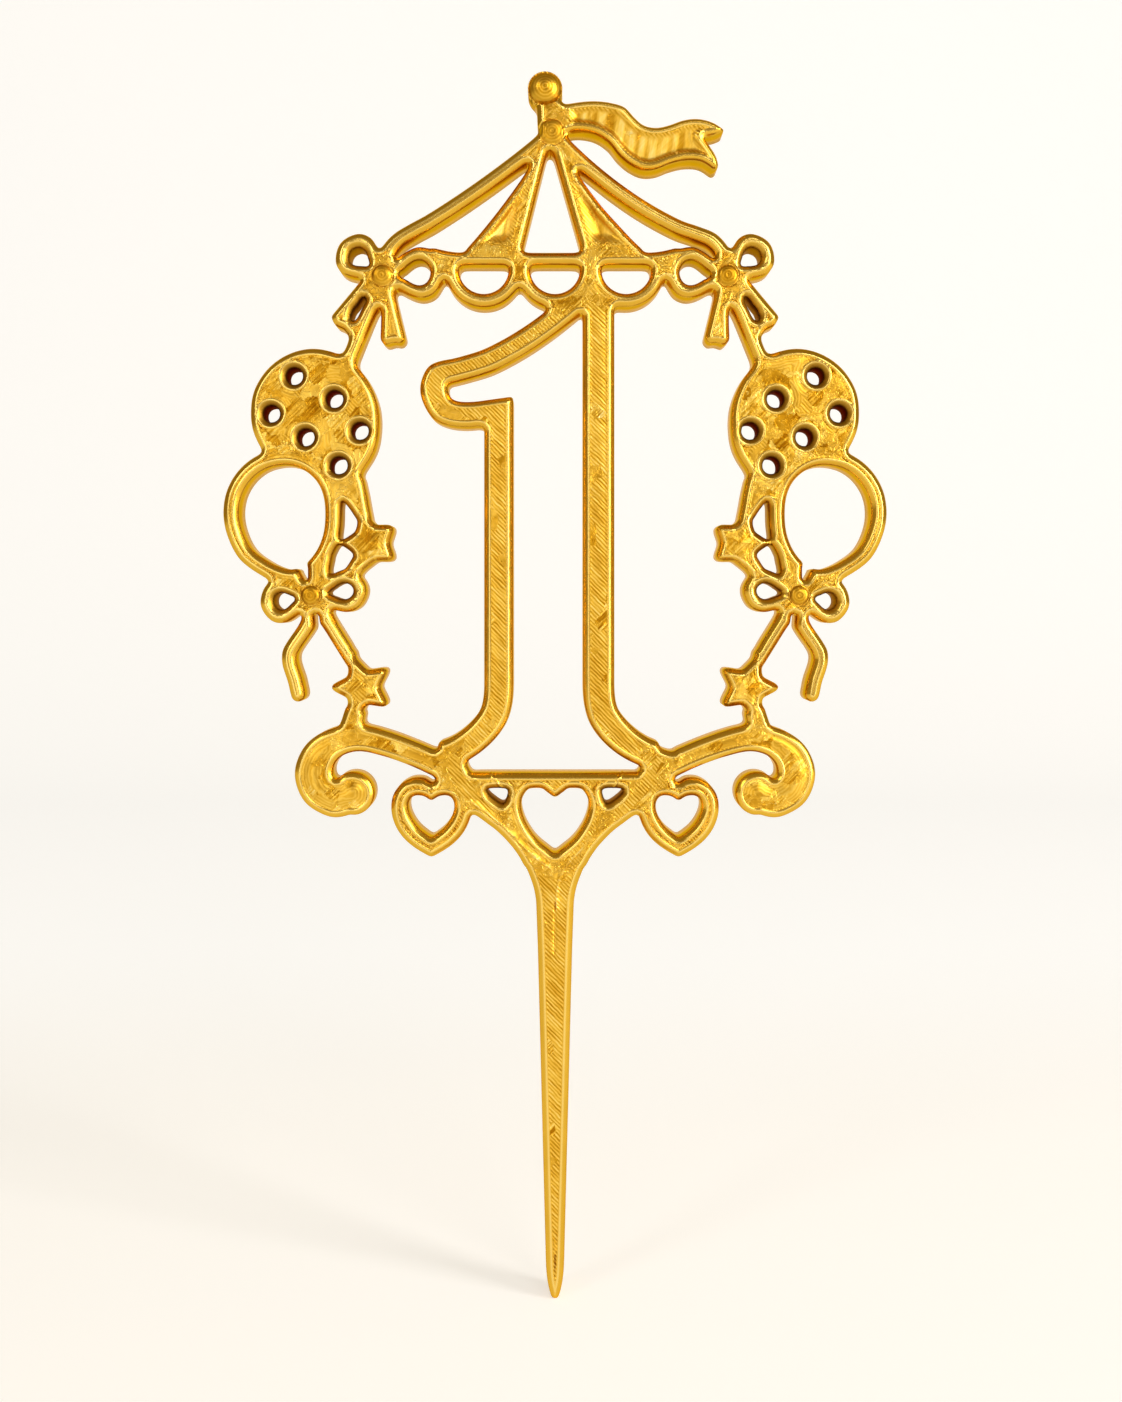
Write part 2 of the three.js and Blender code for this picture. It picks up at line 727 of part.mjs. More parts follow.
// Mast, ball and pennant
const ball = point(-ballReach, boss.z + ballRise);
const ballShares = [[0.86, 0.4], [0.5, 0.8], [0, 1]];
const ballWaist = plateThickness - edgeRound;
const ballCrown = edgeRound + ballDome;
addPiece(
  'finial_ball',
  turned(ball, [
    [0, 0],
    [ballRadius - edgeRound, 0],
    [ballRadius, edgeRound],
    [ballRadius, ballWaist],
    ...ballShares.map(([u, v]) => [u * ballRadius, ballWaist + v * ballCrown]),
  ]),
);
const mastOutline = rod(point(-mastReach, boss.z), point(-mastReach, ball.z), mastWidth);
addPiece('mast', plate(mastOutline), bossRoom, room(roundEnd(ball, ballRadius)));

const pennantTopShares = [
  [-0.04, 0.95], [0.1, 1.01], [0.2, 1.03], [0.31, 1], [0.385, 0.94], [0.445, 0.785], [0.5, 0.67],
  [0.58, 0.63], [0.66, 0.67], [0.74, 0.74], [0.82, 0.765], [0.92, 0.71], [1, 0.585],
];
const pennantFlyShares = [
  [0.93, 0.52], [0.858, 0.5], [0.893, 0.385], [0.94, 0.2], [0.957, 0.045], [0.93, 0],
];
const pennantFootShares = [
  [0.847, 0.128], [0.766, 0.143], [0.66, 0.085], [0.58, 0.01], [0.5, 0], [0.42, 0.085], [0.35, 0.228],
  [0.29, 0.41], [0.21, 0.54], [0.13, 0.585], [-0.04, 0.575],
];
const hoist = point(mastWidth / 2 - mastReach, boss.z - pennantDrop);
const pennantEdges = [pennantTopShares, pennantFlyShares, pennantFootShares].map((shares) =>
  spread(shares, hoist, pennantLength, pennantHeight),
);
const pennantOutline = counterclockwise([
  ...smooth(pennantEdges[0], false, 1),
  ...pennantEdges[1],
  ...smooth(pennantEdges[2], false, 1),
]);
const panelTop = pennantEdges[0].slice(2, -2).map((p) => point(p.x, p.z - pennantRim));
const panelFoot = pennantEdges[2].slice(0, -2).map((p) => point(p.x, p.z + pennantRim));
const pennantPocket = plate(counterclockwise([...panelTop, ...panelFoot]), {
  front: frontFace - cutOverrun,
  back: frontFace + pennantRecess,
  bevel: 0,
});
const ballRoom = room(roundEnd(ball, ballRadius));
addPiece('pennant_flag', plate(pennantOutline), room(mastOutline), bossRoom, ballRoom, pennantPocket);

// Figure 1: the left stem with its foot and hook, and the right stem with its foot
const footShares = [[1, 0], [0.77, 0.06], [0.55, 0.15], [0.28, 0.32], [0.08, 0.53], [0.01, 0.76], [0, 1]];
const hookTurnShares = [
  [-0.3, -0.015], [-0.59, -0.02], [-0.86, 0.025], [-1.005, 0.19], [-0.93, 0.31], [-0.7, 0.35], [-0.19, 0.43],
];
const hookArmShares = [[0.278, 0.61], [0.617, 0.815], [0.878, 1]];
const footWidthShares = [0, 0.35, 0.7, 1, 1, 1, 1];
const hookWidthShares = [0.4, 0.4, 0.5, 0.6, 0.3, 0, 0, 0, 0, 0];
function foot(stemX, width, away) {
  const footReach = armSpread - stemSpacing / 2;
  const end = point(stemX, armRise - footSink);
  return spread(footShares, end, away * footReach, footRise).map((p, i) =>
    point(p.x, p.z, THREE.MathUtils.lerp(footEndWidth, width, footWidthShares[i])),
  );
}
const leftStem = -figureShift - stemSpacing / 2;
const rightStem = leftStem + stemSpacing;
const hookStart = point(leftStem, valanceFoot + hookTopLap - hookRise);
const hookLine = [
  ...spread(hookTurnShares, hookStart, hookReach, hookRise),
  ...spread(hookArmShares, hookStart, stemSpacing, hookRise),
].map((p, i) =>
  point(p.x, p.z, THREE.MathUtils.lerp(hookWidth, leftStemWidth, hookWidthShares[i])),
);
const leftLine = [
  ...smooth(foot(leftStem, leftStemWidth, -1), false, loopSteps),
  point(leftStem, hookStart.z, leftStemWidth),
  ...smooth(hookLine, false, loopSteps),
];
const rightLine = [
  ...smooth(foot(rightStem, rightStemWidth, 1), false, loopSteps),
  point(rightStem, valanceFoot + stemTopLap, rightStemWidth),
];
const leftOutline = stroke(leftLine);
const rightOutline = stroke(rightLine);
addPiece(
  'number_one',
  plate(leftOutline).add(plate(rightOutline)),
  ...scallopRooms,
  ...scallopOpenings,
  room(armOutlines.left),
  room(armOutlines.right),
  room(barOutline),
);

// Scrolls: a swelling stroke that curls round into a disc
const scrollShares = [
  [0, 0.47], [0.14, 0.62], [0.32, 0.79], [0.49, 0.92], [0.665, 1], [0.83, 0.93], [0.95, 0.73], [1, 0.42],
  [0.955, 0.13], [0.83, -0.02], [0.76, 0],
];
const scrollWidthShares = [0.1, 0.06, 0.06, 0.12, 0.2, 0.42, 0.78, 1, 1, 0.95, 0.8];
const curlShare = [0.708, 0.075];
const scrollOutlines = {};
for (const [word, side] of sides) {
  const line = layScroll(scrollShares, side).map((p, i) =>
    point(p.x, p.z, THREE.MathUtils.lerp(scrollStroke, scrollSwell, scrollWidthShares[i])),
  );
  const outline = stroke(smooth(line, false, loopSteps));
  const curl = roundEnd(layScroll([curlShare], side)[0], curlRadius);
  scrollOutlines[word] = [outline, curl];
  const legs = [leftOutline, rightOutline].map((ring) => room(ring));
  addPiece(`${word}_scroll`, plate(outline).add(plate(curl)), room(armOutlines[word]), ...legs);
}

// Heart pendants beside the arms
for (const [word, side] of sides) {
  const tip = point(side * (armSpread + pendantOutset), barBase - pendantTipDrop);
  const outline = heart(tip, pendantWidth, pendantHeight, pendantNotch, fullHeartShares);
  const holeTip = point(tip.x, tip.z + pendantTipWall);
  const hole = heart(holeTip, pendantHoleWidth, pendantHoleHeight, pendantNotch);
  addPiece(
    `${word}_heart_pendant`,
    plate(outline, { holes: [hole] }),
    room(armOutlines[word]),
    room(scrollOutlines[word][0]),
  );
}

// Balloons: shares of half the ring balloon's width and height, and of the dotted balloon's radius,
// for the left side. The ring balloon's neck is a notch, in shares of its rim.
const ringShares = [
  [-1.01, 0], [-0.96, 0.36], [-0.755, 0.68], [-0.41, 0.915], [0.08, 1], [0.47, 0.91], [0.78, 0.69],
  [0.95, 0.4], [1, 0.02], [0.95, -0.35], [0.78, -0.68], [0.5, -0.93], [0.16, -1.03], [-0.15, -0.97],
  [-0.42, -0.85], [-0.73, -0.64], [-0.925, -0.33],
];
const neckStartShare = [0.16, -1.03];
const neckShares = [[1.066, 1.43], [0.383, 1], [0.797, 0.266], [1.066, 0.305]];
const dottedShares = [
  [0, 1.02], [0.48, 0.89], [0.81, 0.58], [1, 0.14], [1.02, -0.25], [0.96, -0.56], [0.81, -0.83],
  [0.6, -1.08], [0.3, -1.15], [-0.1, -1.05], [-0.5, -0.86], [-0.8, -0.56], [-0.95, -0.25], [-0.98, 0.05],
  [-0.93, 0.36], [-0.72, 0.7], [-0.4, 0.93],
];
const dotSizeShare = 0.141;
const dottedEdgeShare = 0.065;
const dotShares = [[-0.3, 0.59], [0.33, 0.23], [-0.66, 0], [-0.12, -0.37], [0.73, -0.27], [0.4, -0.81]];
const neckTopShare = [-0.58, -1.066];
const stringShares = [[1, 1], [0.71, 0.72], [0.37, 0.44], [0, 0]];
const stringWidthShares = [1, 0.65, 0, 0];
const ribbonShares = [
  [0, 0], [-0.11, 0.26], [-0.58, 0.43], [-1, 0.58], [-1, 0.69], [-0.76, 0.85], [-0.61, 1],
];
const lowerOuterLoopTurn = 191.3;
const lowerInnerLoopTurn = 7;
const lowerStringFootShare = [0.736, -0.314];
const lowerStemTurn = -106;
const stemStartShare = 0.7;
for (const [word, side] of sides) {
  const handed = (shares) => shares.map(([u, v]) => [-side * u, v]);
  const { ring: ringCentre, lowerKnot: knotPlace, sideStar: starPlace } = wreath[word];
  const { lowerStar, dotted: centre, stemFoot } = wreath[word];
  const ringRing = counterclockwise(
    smooth(spread(handed(ringShares), ringCentre, ringWidth / 2, ringHeight / 2), true, loopSteps),
  );
  const ringHole = grown(ringRing, -ringRim);
  const [neckStart] = spread(handed([neckStartShare]), ringCentre, ringWidth / 2, ringHeight / 2);
  const neck = counterclockwise(spread(handed(neckShares), neckStart, ringRim, ringRim));
  const ringRoom = room(ringRing);
  const knotRoom = room(roundEnd(knotPlace, lowerKnotRadius));
  addPiece(`${word}_lower_bow_knot`, knot(knotPlace, lowerKnotRadius));
  addPiece(`${word}_ring_balloon`, plate(ringRing, { holes: [ringHole] }), knotRoom, through(neck));

  const dottedOutline = counterclockwise(
    smooth(spread(handed(dottedShares), centre, dottedRadius, dottedRadius), true, loopSteps),
  );
  const dots = spread(handed(dotShares), centre, dottedRadius, dottedRadius).map((place) =>
    roundEnd(place, dottedRadius * dotSizeShare),
  );
  const dottedPlate = plate(dottedOutline, { holes: dots, bevel: dottedRadius * dottedEdgeShare });
  addPiece(`${word}_dotted_balloon`, dottedPlate, ringRoom);

  const sideStar = handedStar(starPlace, sideStarRadius, sideStarNotchRadius, side);
  const starRoom = room(sideStar.outline);
  addPiece(`${word}_side_star`, sideStar.solid, ringRoom);
  const [neckTop] = spread([neckTopShare], centre, side * dottedRadius, dottedRadius);
  const span = { x: neckTop.x - starPlace.x, z: neckTop.z - starPlace.z };
  const stringLine = spread(stringShares, starPlace, span.x, span.z).map((p, i) =>
    point(p.x, p.z, THREE.MathUtils.lerp(stringWidth, stringNeckWidth, stringWidthShares[i])),
  );
  addPiece(
    `${word}_balloon_string`,
    plate(stroke(smooth(stringLine, false, loopSteps))),
    room(dottedOutline),
    ringRoom,
    starRoom,
  );

  const outerLoop = bowLoop(
    knotPlace,
    lowerKnotRadius,
    facing(side, lowerOuterLoopTurn),
    lowerOuterLoopLength,
    lowerOuterLoopBreadth,
  );
  const innerLoop = bowLoop(
    knotPlace,
    lowerKnotRadius,
    facing(side, lowerInnerLoopTurn),
    lowerInnerLoopLength,
    lowerInnerLoopBreadth,
  );
  addPiece(`${word}_lower_bow_outer_loop`, outerLoop.solid, knotRoom, ringRoom);
  addPiece(`${word}_lower_bow_inner_loop`, innerLoop.solid, knotRoom, ringRoom, starRoom);
  const [lowerStringFoot] = laid(
    [lowerStringFootShare],
    knotPlace,
    facing(side, lowerInnerLoopTurn),
    lowerInnerLoopLength,
    lowerInnerLoopBreadth,
    side,
  );
  const lowerString = rod(starPlace, lowerStringFoot, lowerStringWidth);
  addPiece(`${word}_lower_string`, plate(lowerString), starRoom, room(innerLoop.outline));

  const lowerStarPiece = handedStar(lowerStar, lowerStarRadius, lowerStarNotchRadius, side);
  const lowerRod = rod(knotPlace, point(lowerStar.x - side * lowerRodInset, lowerStar.z), rodWidth);
  const loopRooms = [room(outerLoop.outline), room(innerLoop.outline)];
  addPiece(`${word}_lower_rod`, plate(lowerRod), knotRoom, ...loopRooms, room(lowerStarPiece.outline));
  const stemTurn = facing(side, lowerStemTurn);
  const stemOutline = rod(
    polar(lowerStar, lowerStarRadius * stemStartShare, stemTurn),
    stemFoot,
    scrollStemWidth,
  );
  addPiece(`${word}_scroll_stem`, plate(stemOutline), room(scrollOutlines[word][0]));
  addPiece(`${word}_lower_star`, lowerStarPiece.solid, room(stemOutline));
  const ribbonLine = spread(handed(ribbonShares), knotPlace, ribbonSway, -ribbonDrop).map((p) =>
    point(p.x, p.z, ribbonWidth),
  );
  const ribbonEnd = plate(roundEnd(ribbonLine.at(-1), ribbonWidth / 2));
  addPiece(
    `${word}_lower_ribbon`,
    plate(stroke(smooth(ribbonLine, false, loopSteps))).add(ribbonEnd),
    knotRoom,
    ...loopRooms,
    room(lowerRod),
  );
}

function meshOf(name, solid) {
  const { numProp, vertProperties, triVerts } = solid.getMesh();
  const geometry = new THREE.BufferGeometry();
  const count = vertProperties.length / numProp;
  const positions = Array.from({ length: count }, (_, i) =>
    Array.from(vertProperties.slice(i * numProp, i * numProp + 3)),
  ).flat();
  geometry.setAttribute('position', new THREE.Float32BufferAttribute(positions, 3));
  geometry.setIndex(Array.from(triVerts));
  geometry.computeVertexNormals();
  const mesh = new THREE.Mesh(geometry, new THREE.MeshStandardMaterial(gold));
  mesh.name = name;
  return mesh;
}

const topper = new THREE.Group();
topper.name = 'number_cupcake_topper';
for (const [name, solid] of pieces) topper.add(meshOf(name, solid));

export default topper;
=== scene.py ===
# A gold party topper for a cupcake, as it comes off its print bed: every piece grows out of its neighbours,
# the edges are rounded, and fine raster lines and melt marks cover the face.
# Lengths are in millimetres in the plane of the plate, x to the right and z up, until a mesh is made.
import math

import bpy
import numpy as np
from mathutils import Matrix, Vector
from mathutils.geometry import delaunay_2d_cdt
from mathutils.kdtree import KDTree


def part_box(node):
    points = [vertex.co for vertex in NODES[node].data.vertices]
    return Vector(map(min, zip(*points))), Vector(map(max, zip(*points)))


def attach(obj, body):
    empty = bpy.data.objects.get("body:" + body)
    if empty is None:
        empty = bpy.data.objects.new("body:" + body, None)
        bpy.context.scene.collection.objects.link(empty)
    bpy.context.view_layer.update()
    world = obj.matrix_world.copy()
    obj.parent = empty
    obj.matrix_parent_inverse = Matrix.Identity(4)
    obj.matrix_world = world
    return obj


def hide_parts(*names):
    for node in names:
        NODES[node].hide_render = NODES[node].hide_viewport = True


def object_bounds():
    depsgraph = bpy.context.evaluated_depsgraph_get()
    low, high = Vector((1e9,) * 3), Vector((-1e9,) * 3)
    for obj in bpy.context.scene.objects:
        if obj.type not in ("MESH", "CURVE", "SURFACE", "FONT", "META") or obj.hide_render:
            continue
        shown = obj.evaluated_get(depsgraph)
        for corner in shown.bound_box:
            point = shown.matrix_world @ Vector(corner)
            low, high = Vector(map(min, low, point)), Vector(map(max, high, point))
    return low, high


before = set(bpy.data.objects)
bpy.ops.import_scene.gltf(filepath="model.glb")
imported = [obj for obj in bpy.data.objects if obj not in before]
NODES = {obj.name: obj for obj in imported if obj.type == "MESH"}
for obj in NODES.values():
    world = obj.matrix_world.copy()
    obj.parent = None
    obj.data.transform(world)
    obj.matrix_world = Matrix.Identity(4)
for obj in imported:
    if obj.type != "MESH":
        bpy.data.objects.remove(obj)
cad_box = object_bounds()

MM = 1000.0
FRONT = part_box("base_bar")[0].y * MM
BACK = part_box("base_bar")[1].y * MM

SIDES = (("left", -1), ("right", 1))

# How the outlines are read, joined and sampled. CELL is a step of the grid of distances, REACH how far from
# a piece they are worked out, MELT how near two pieces melt together, SOFTEN the blur of that in cells.
FLATNESS = 0.01
SAME_PLACE = 0.04
CELL = 0.1
MARGIN = 2.0
REACH = 1.3
MELT = 0.62
GROWTH = 0.02
SOFTEN = 1.1
STEP = 0.2
LATTICE = 0.45
FINE_LATTICE = 0.18
LEAST_LOOP_AREA = 0.35
FAR = 9.0

# Rings inside the outline, and how far the front and the back lie under the plate's faces on each
RINGS = [0.0, 0.05, 0.14, 0.25, 0.36, 0.46, 0.56, 0.67, 0.8]
FRONT_DROP = [0.47, 0.37, 0.27, 0.165, 0.065, 0.0, 0.035, 0.09, 0.06]
BACK_DROP = [0.15, 0.05, 0.0, 0.0, 0.0, 0.0, 0.0, 0.0, 0.0]
PENNANT_RINGS = [0.0, 0.05, 0.13, 0.24, 0.34, 0.5, 0.72, 0.92, 1.1]
PENNANT_DROP = [0.34, 0.21, 0.1, 0.03, 0.01, 0.06, 0.15, 0.36, 0.36]


# Outlines of the CAD nodes
def back_loops(name):
    """The rings round a node's flat back, as arrays of (x, z)."""
    mesh = NODES[name].data
    places = [tuple(round(c * MM, 3) for c in v.co) for v in mesh.vertices]
    directed = set()
    for face in mesh.polygons:
        corners = [places[k] for k in face.vertices]
        if all(c[1] > BACK - FLATNESS for c in corners):
            for k, a in enumerate(corners):
                b = corners[(k + 1) % len(corners)]
                directed.add(((a[0], a[2]), (b[0], b[2])))
    onward = {a: b for a, b in directed if (b, a) not in directed}
    loops = []
    while onward:
        start, here = next(iter(onward.items()))
        loop = [start]
        del onward[start]
        while here != start and here in onward:
            loop.append(here)
            here = onward.pop(here)
        if len(loop) > 2:
            loops.append(np.array(loop))
    return loops


def smooth_loop(points, corner_turn=36.0, straight=2.4, step=0.2, stiff=1e6):
    """A finer ring through the points: corners and long straight edges stay, the rest runs in curves."""
    gap = np.linalg.norm(points - np.roll(points, 1, 0), axis=1)
    points = points[gap > SAME_PLACE]
    along = np.roll(points, -1, 0) - points
    length = np.linalg.norm(along, axis=1)
    along /= length[:, None]
    before = np.roll(along, 1, 0)
    turn = np.degrees(np.arccos(np.clip((before * along).sum(1), -1, 1)))
    weight = np.where(length > straight, stiff, 1 / length)
    tangent = before * np.roll(weight, 1)[:, None] + along * weight[:, None]
    tangent /= np.maximum(np.linalg.norm(tangent, axis=1), 1e-9)[:, None]
    corner = (turn > corner_turn)[:, None]
    leaving = np.where(corner, along, tangent)
    arriving = np.where(corner, before, tangent)
    fine = []
    for k in range(len(points)):
        j = (k + 1) % len(points)
        count = 1 if length[k] > straight else max(1, math.ceil(length[k] / step))
        reach = length[k] / 3
        a, d = points[k], points[j]
        b, c = a + leaving[k] * reach, d - arriving[j] * reach
        for t in np.arange(count) / count:
            s = 1 - t
            fine.append(s**3 * a + 3 * s * s * t * b + 3 * s * t * t * c + t**3 * d)
    return np.array(fine)


def enclosed(ring):
    """The area inside a ring, negative when it runs clockwise."""
    after = np.roll(ring, -1, 0)
    return ((ring[:, 0] * after[:, 1] - after[:, 0] * ring[:, 1]) / 2).sum()


def blunt(points, others, reach=0.85, count=6, hold=1.0, least_turn=0.3):
    """The ring with its outer corners rounded off, apart from those that other pieces hold."""
    fine = []
    turning = math.copysign(1, enclosed(points))
    for before, corner, after in zip(np.roll(points, 1, 0), points, np.roll(points, -1, 0)):
        into, out = corner - before, after - corner
        a, b = np.linalg.norm(into), np.linalg.norm(out)
        held = np.linalg.norm(others - corner, axis=1).min() < hold
        if held or turning * (into[0] * out[1] - into[1] * out[0]) <= least_turn * a * b:
            fine.append(corner)
            continue
        start = corner - into / a * min(reach, a / 2)
        end = corner + out / b * min(reach, b / 2)
        for t in np.linspace(0, 1, count):
            fine.append((1 - t) ** 2 * start + 2 * t * (1 - t) * corner + t * t * end)
    return np.array(fine)


def circle(centre, radius, count=64):
    turns = np.arange(count) / count * 2 * math.pi
    return np.stack([centre[0] + radius * np.cos(turns), centre[1] + radius * np.sin(turns)], 1)


def round_node(name):
    """The centre and the radius of a round node."""
    lo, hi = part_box(name)
    return ((lo.x + hi.x) / 2 * MM, (lo.z + hi.z) / 2 * MM), (hi.x - lo.x) / 2 * MM


ROUND = [n for n in NODES if n.endswith("_knot") or n in ("apex_boss", "finial_ball")]
outlines = {}
for name in sorted(NODES):
    if name in ROUND:
        outlines[name] = [circle(*round_node(name))]
    else:
        outlines[name] = [smooth_loop(loop) for loop in back_loops(name)]
for name in [n for n in outlines if n.endswith("_star")]:
    others = np.concatenate([loop for other, loops in outlines.items() if other != name for loop in loops])
    outlines[name] = [blunt(loop, others) for loop in back_loops(name)]

# One field of distances for the whole plate
low = np.array([cad_box[0][0], cad_box[0][2]]) * MM - MARGIN
high = np.array([cad_box[1][0], cad_box[1][2]]) * MM + MARGIN
shape = np.ceil((high - low) / CELL).astype(int) + 1
GX = low[0] + CELL * np.arange(shape[0])
GZ = low[1] + CELL * np.arange(shape[1])


def piece_field(loops):
    """Signed distances to a piece's outline, negative inside, on its own window of the grid."""
    every = np.concatenate(loops)
    first = np.maximum(np.floor((every.min(0) - REACH - low) / CELL).astype(int), 0)
    last = np.minimum(np.ceil((every.max(0) + REACH - low) / CELL).astype(int) + 1, shape)
    xs, zs = GX[first[0]:last[0]], GZ[first[1]:last[1]]
    distance = np.full((len(xs), len(zs)), REACH)
    inside = np.zeros((len(xs), len(zs)), bool)
    for loop in loops:
        for a, b in zip(loop, np.roll(loop, -1, 0)):
            i = np.searchsorted(xs, [min(a[0], b[0]) - REACH, max(a[0], b[0]) + REACH])
            j = np.searchsorted(zs, [min(a[1], b[1]) - REACH, max(a[1], b[1]) + REACH])
            x, z = xs[i[0]:i[1], None] - a[0], zs[None, j[0]:j[1]] - a[1]
            d = b - a
            t = np.clip((x * d[0] + z * d[1]) / max(d @ d, 1e-12), 0, 1)
            part = distance[i[0]:i[1], j[0]:j[1]]
            np.minimum(part, np.hypot(x - t * d[0], z - t * d[1]), out=part)
            if a[1] != b[1]:
                r = np.searchsorted(zs, [min(a[1], b[1]), max(a[1], b[1])])
                crossing = a[0] + d[0] * (zs[r[0]:r[1]] - a[1]) / d[1]
                inside[:, r[0]:r[1]] ^= xs[:, None] < crossing[None, :]
    return first, np.where(inside, -distance, distance)


names = sorted(outlines)
fields = {name: piece_field(outlines[name]) for name in names}


def capsule(centre, side, start, end, half, x, z):
    """Distances to a rounded bar, whose ends are given from a centre, towards the middle and up."""
    a, b = (centre + np.array([-side * u, w]) for u, w in (start, end))
    d = b - a
    t = np.clip(((x - a[0]) * d[0] + (z - a[1]) * d[1]) / (d @ d), 0, 1)
    return np.hypot(x - a[0] - t * d[0], z - a[1] - t * d[1]) - half


# Runs of plastic that carry a piece on to the lower bow's knot: the run's two ends and half its width
RUNS_ON = [("ring_balloon", (0.95, 3.1), (0.4, 0.9), 0.72)]
for word, side in SIDES:
    knot = np.array(round_node(f"{word}_lower_bow_knot")[0])
    for kind, start, end, half in RUNS_ON:
        name = f"{word}_{kind}"
        first, field = fields[name]
        x = GX[first[0]:first[0] + field.shape[0], None]
        z = GZ[None, first[1]:first[1] + field.shape[1]]
        fields[name] = first, np.minimum(field, capsule(knot, side, start, end, half, x, z))

joined = np.full(tuple(shape), REACH)
nearest = np.full(tuple(shape), REACH)
owner = np.full(tuple(shape), -1)
for k, name in enumerate(names):
    first, field = fields[name]
    field = field - GROWTH
    window = (slice(first[0], first[0] + field.shape[0]), slice(first[1], first[1] + field.shape[1]))
    overlap = np.maximum(MELT - np.abs(joined[window] - field), 0) / MELT
    joined[window] = np.minimum(joined[window], field) - overlap**2 * MELT / 4
    closer = field < nearest[window]
    owner[window][closer] = k
    nearest[window][closer] = field[closer]


def blurred(values, sigma):
    """A grid blurred by a bell curve of the given width in cells."""
    span = int(3 * sigma) + 1
    taps = np.exp(-0.5 * (np.arange(-span, span + 1) / sigma) ** 2)
    taps /= taps.sum()
    for axis in (0, 1):
        values = sum(w * np.roll(values, s - span, axis) for s, w in enumerate(taps))
    return values


# Narrow gaps below the knots that stay open: beside the lower bow's ribbon, and inside the upper bow's
# outer tail
GAPS = [
    ("lower_bow_knot", (0.42, -1.75), (0.5, -3.0), 0.24),
    ("upper_bow_knot", (-1.6, -2.0), (-2.5, -3.5), 0.26),
]
for word, side in SIDES:
    for kind, start, end, half in GAPS:
        knot = np.array(round_node(f"{word}_{kind}")[0])
        joined = np.maximum(joined, -capsule(knot, side, start, end, half, GX[:, None], GZ[None, :]))

joined = blurred(joined, SOFTEN)


def contours(field, usable=None):
    """Lines where the field is zero, the negative side on their left: points in grid steps, and if closed."""
    inside = field < 0
    code = inside[:-1, :-1] + 2 * inside[1:, :-1] + 4 * inside[1:, 1:] + 8 * inside[:-1, 1:]
    if usable is not None:
        all_usable = usable[:-1, :-1] & usable[1:, :-1] & usable[1:, 1:] & usable[:-1, 1:]
        code = np.where(all_usable, code, 0)
    bottom, right, top, left = 0, 1, 2, 3
    table = {
        1: [(bottom, left)], 2: [(right, bottom)], 3: [(right, left)], 4: [(top, right)],
        5: [(bottom, left), (top, right)], 6: [(top, bottom)], 7: [(top, left)], 8: [(left, top)],
        9: [(bottom, top)], 10: [(right, bottom), (left, top)], 11: [(right, top)], 12: [(left, right)],
        13: [(bottom, right)], 14: [(left, bottom)],
    }

    def crossing(i, j, side):
        a = (i, j + 1) if side == top else (i + 1, j) if side == right else (i, j)
        b = (a[0] + 1, a[1]) if side in (bottom, top) else (a[0], a[1] + 1)
        va, vb = field[a], field[b]
        t = va / (va - vb)
        return (a, b), (a[0] + t * (b[0] - a[0]), a[1] + t * (b[1] - a[1]))

    onward, place = {}, {}
    for i, j in zip(*np.nonzero((code > 0) & (code < 15))):
        for start, end in table[int(code[i, j])]:
            ka, pa = crossing(i, j, start)
            kb, pb = crossing(i, j, end)
            onward[ka] = kb
            place[ka], place[kb] = pa, pb
    lines = []
    ends = set(onward.values())
    starts = [k for k in onward if k not in ends] + list(onward)
    for key in starts:
        if key not in onward:
            continue
        line = [key]
        while line[-1] in onward:
            line.append(onward.pop(line[-1]))
        lines.append((np.array([place[k] for k in line]), line[0] == line[-1]))
    return lines


def resampled(line, closed, step, passes=3):
    """The line with its grid steps smoothed out, in equal steps of about the given length."""
    for _ in range(passes):
        before, after = np.roll(line, 1, 0), np.roll(line, -1, 0)
        moved = (before + 2 * line + after) / 4
        if not closed:
            moved[0], moved[-1] = line[0], line[-1]
        line = moved
    ring = np.vstack([line, line[:1]]) if closed else line
    length = np.concatenate([[0], np.cumsum(np.linalg.norm(np.diff(ring, axis=0), axis=1))])
    count = max(3 if closed else 1, round(length[-1] / step))
    at = np.linspace(0, length[-1], count + 1)
    fine = np.stack([np.interp(at, length, ring[:, 0]), np.interp(at, length, ring[:, 1])], 1)
    return fine[:-1] if closed else fine


outline = []
for line, closed in contours(joined):
    ring = low + CELL * line[:-1]
    if closed and abs(enclosed(ring)) > LEAST_LOOP_AREA:
        outline.append(resampled(ring, True, STEP))

# Borders between the pieces, where two of them are equally near, on the plate and a little past its outline
PAIRED_WITHIN = 0.1
BORDER_WITHIN = 0.25


def cut_out(first, last, origin, field):
    """The part of a piece's window of the grid between two of the whole grid's cells."""
    return field[first[0] - origin[0]:last[0] - origin[0], first[1] - origin[1]:last[1] - origin[1]]


pairs = set()
solid = joined < PAIRED_WITHIN
for a, b, plate in (
    (owner[1:, :], owner[:-1, :], solid[1:, :]),
    (owner[:, 1:], owner[:, :-1], solid[:, 1:]),
):
    here = (a != b) & plate
    pairs |= {(min(p), max(p)) for p in zip(a[here].tolist(), b[here].tolist()) if min(p) >= 0}
borders = []
for a, b in sorted(pairs):
    (fa, da), (fb, db) = fields[names[a]], fields[names[b]]
    first = np.maximum(fa, fb)
    last = np.minimum(fa + da.shape, fb + db.shape)
    if (last - first).min() < 2:
        continue
    window = (slice(first[0], last[0]), slice(first[1], last[1]))
    usable = (joined[window] < BORDER_WITHIN) & np.isin(owner[window], (a, b))
    apart = cut_out(first, last, fa, da) - cut_out(first, last, fb, db)
    for line, _ in contours(apart, usable):
        if len(line) > 2:
            borders.append(resampled(low + CELL * (first + line), False, STEP))

# Points and edges of the face
spots, links = [], []


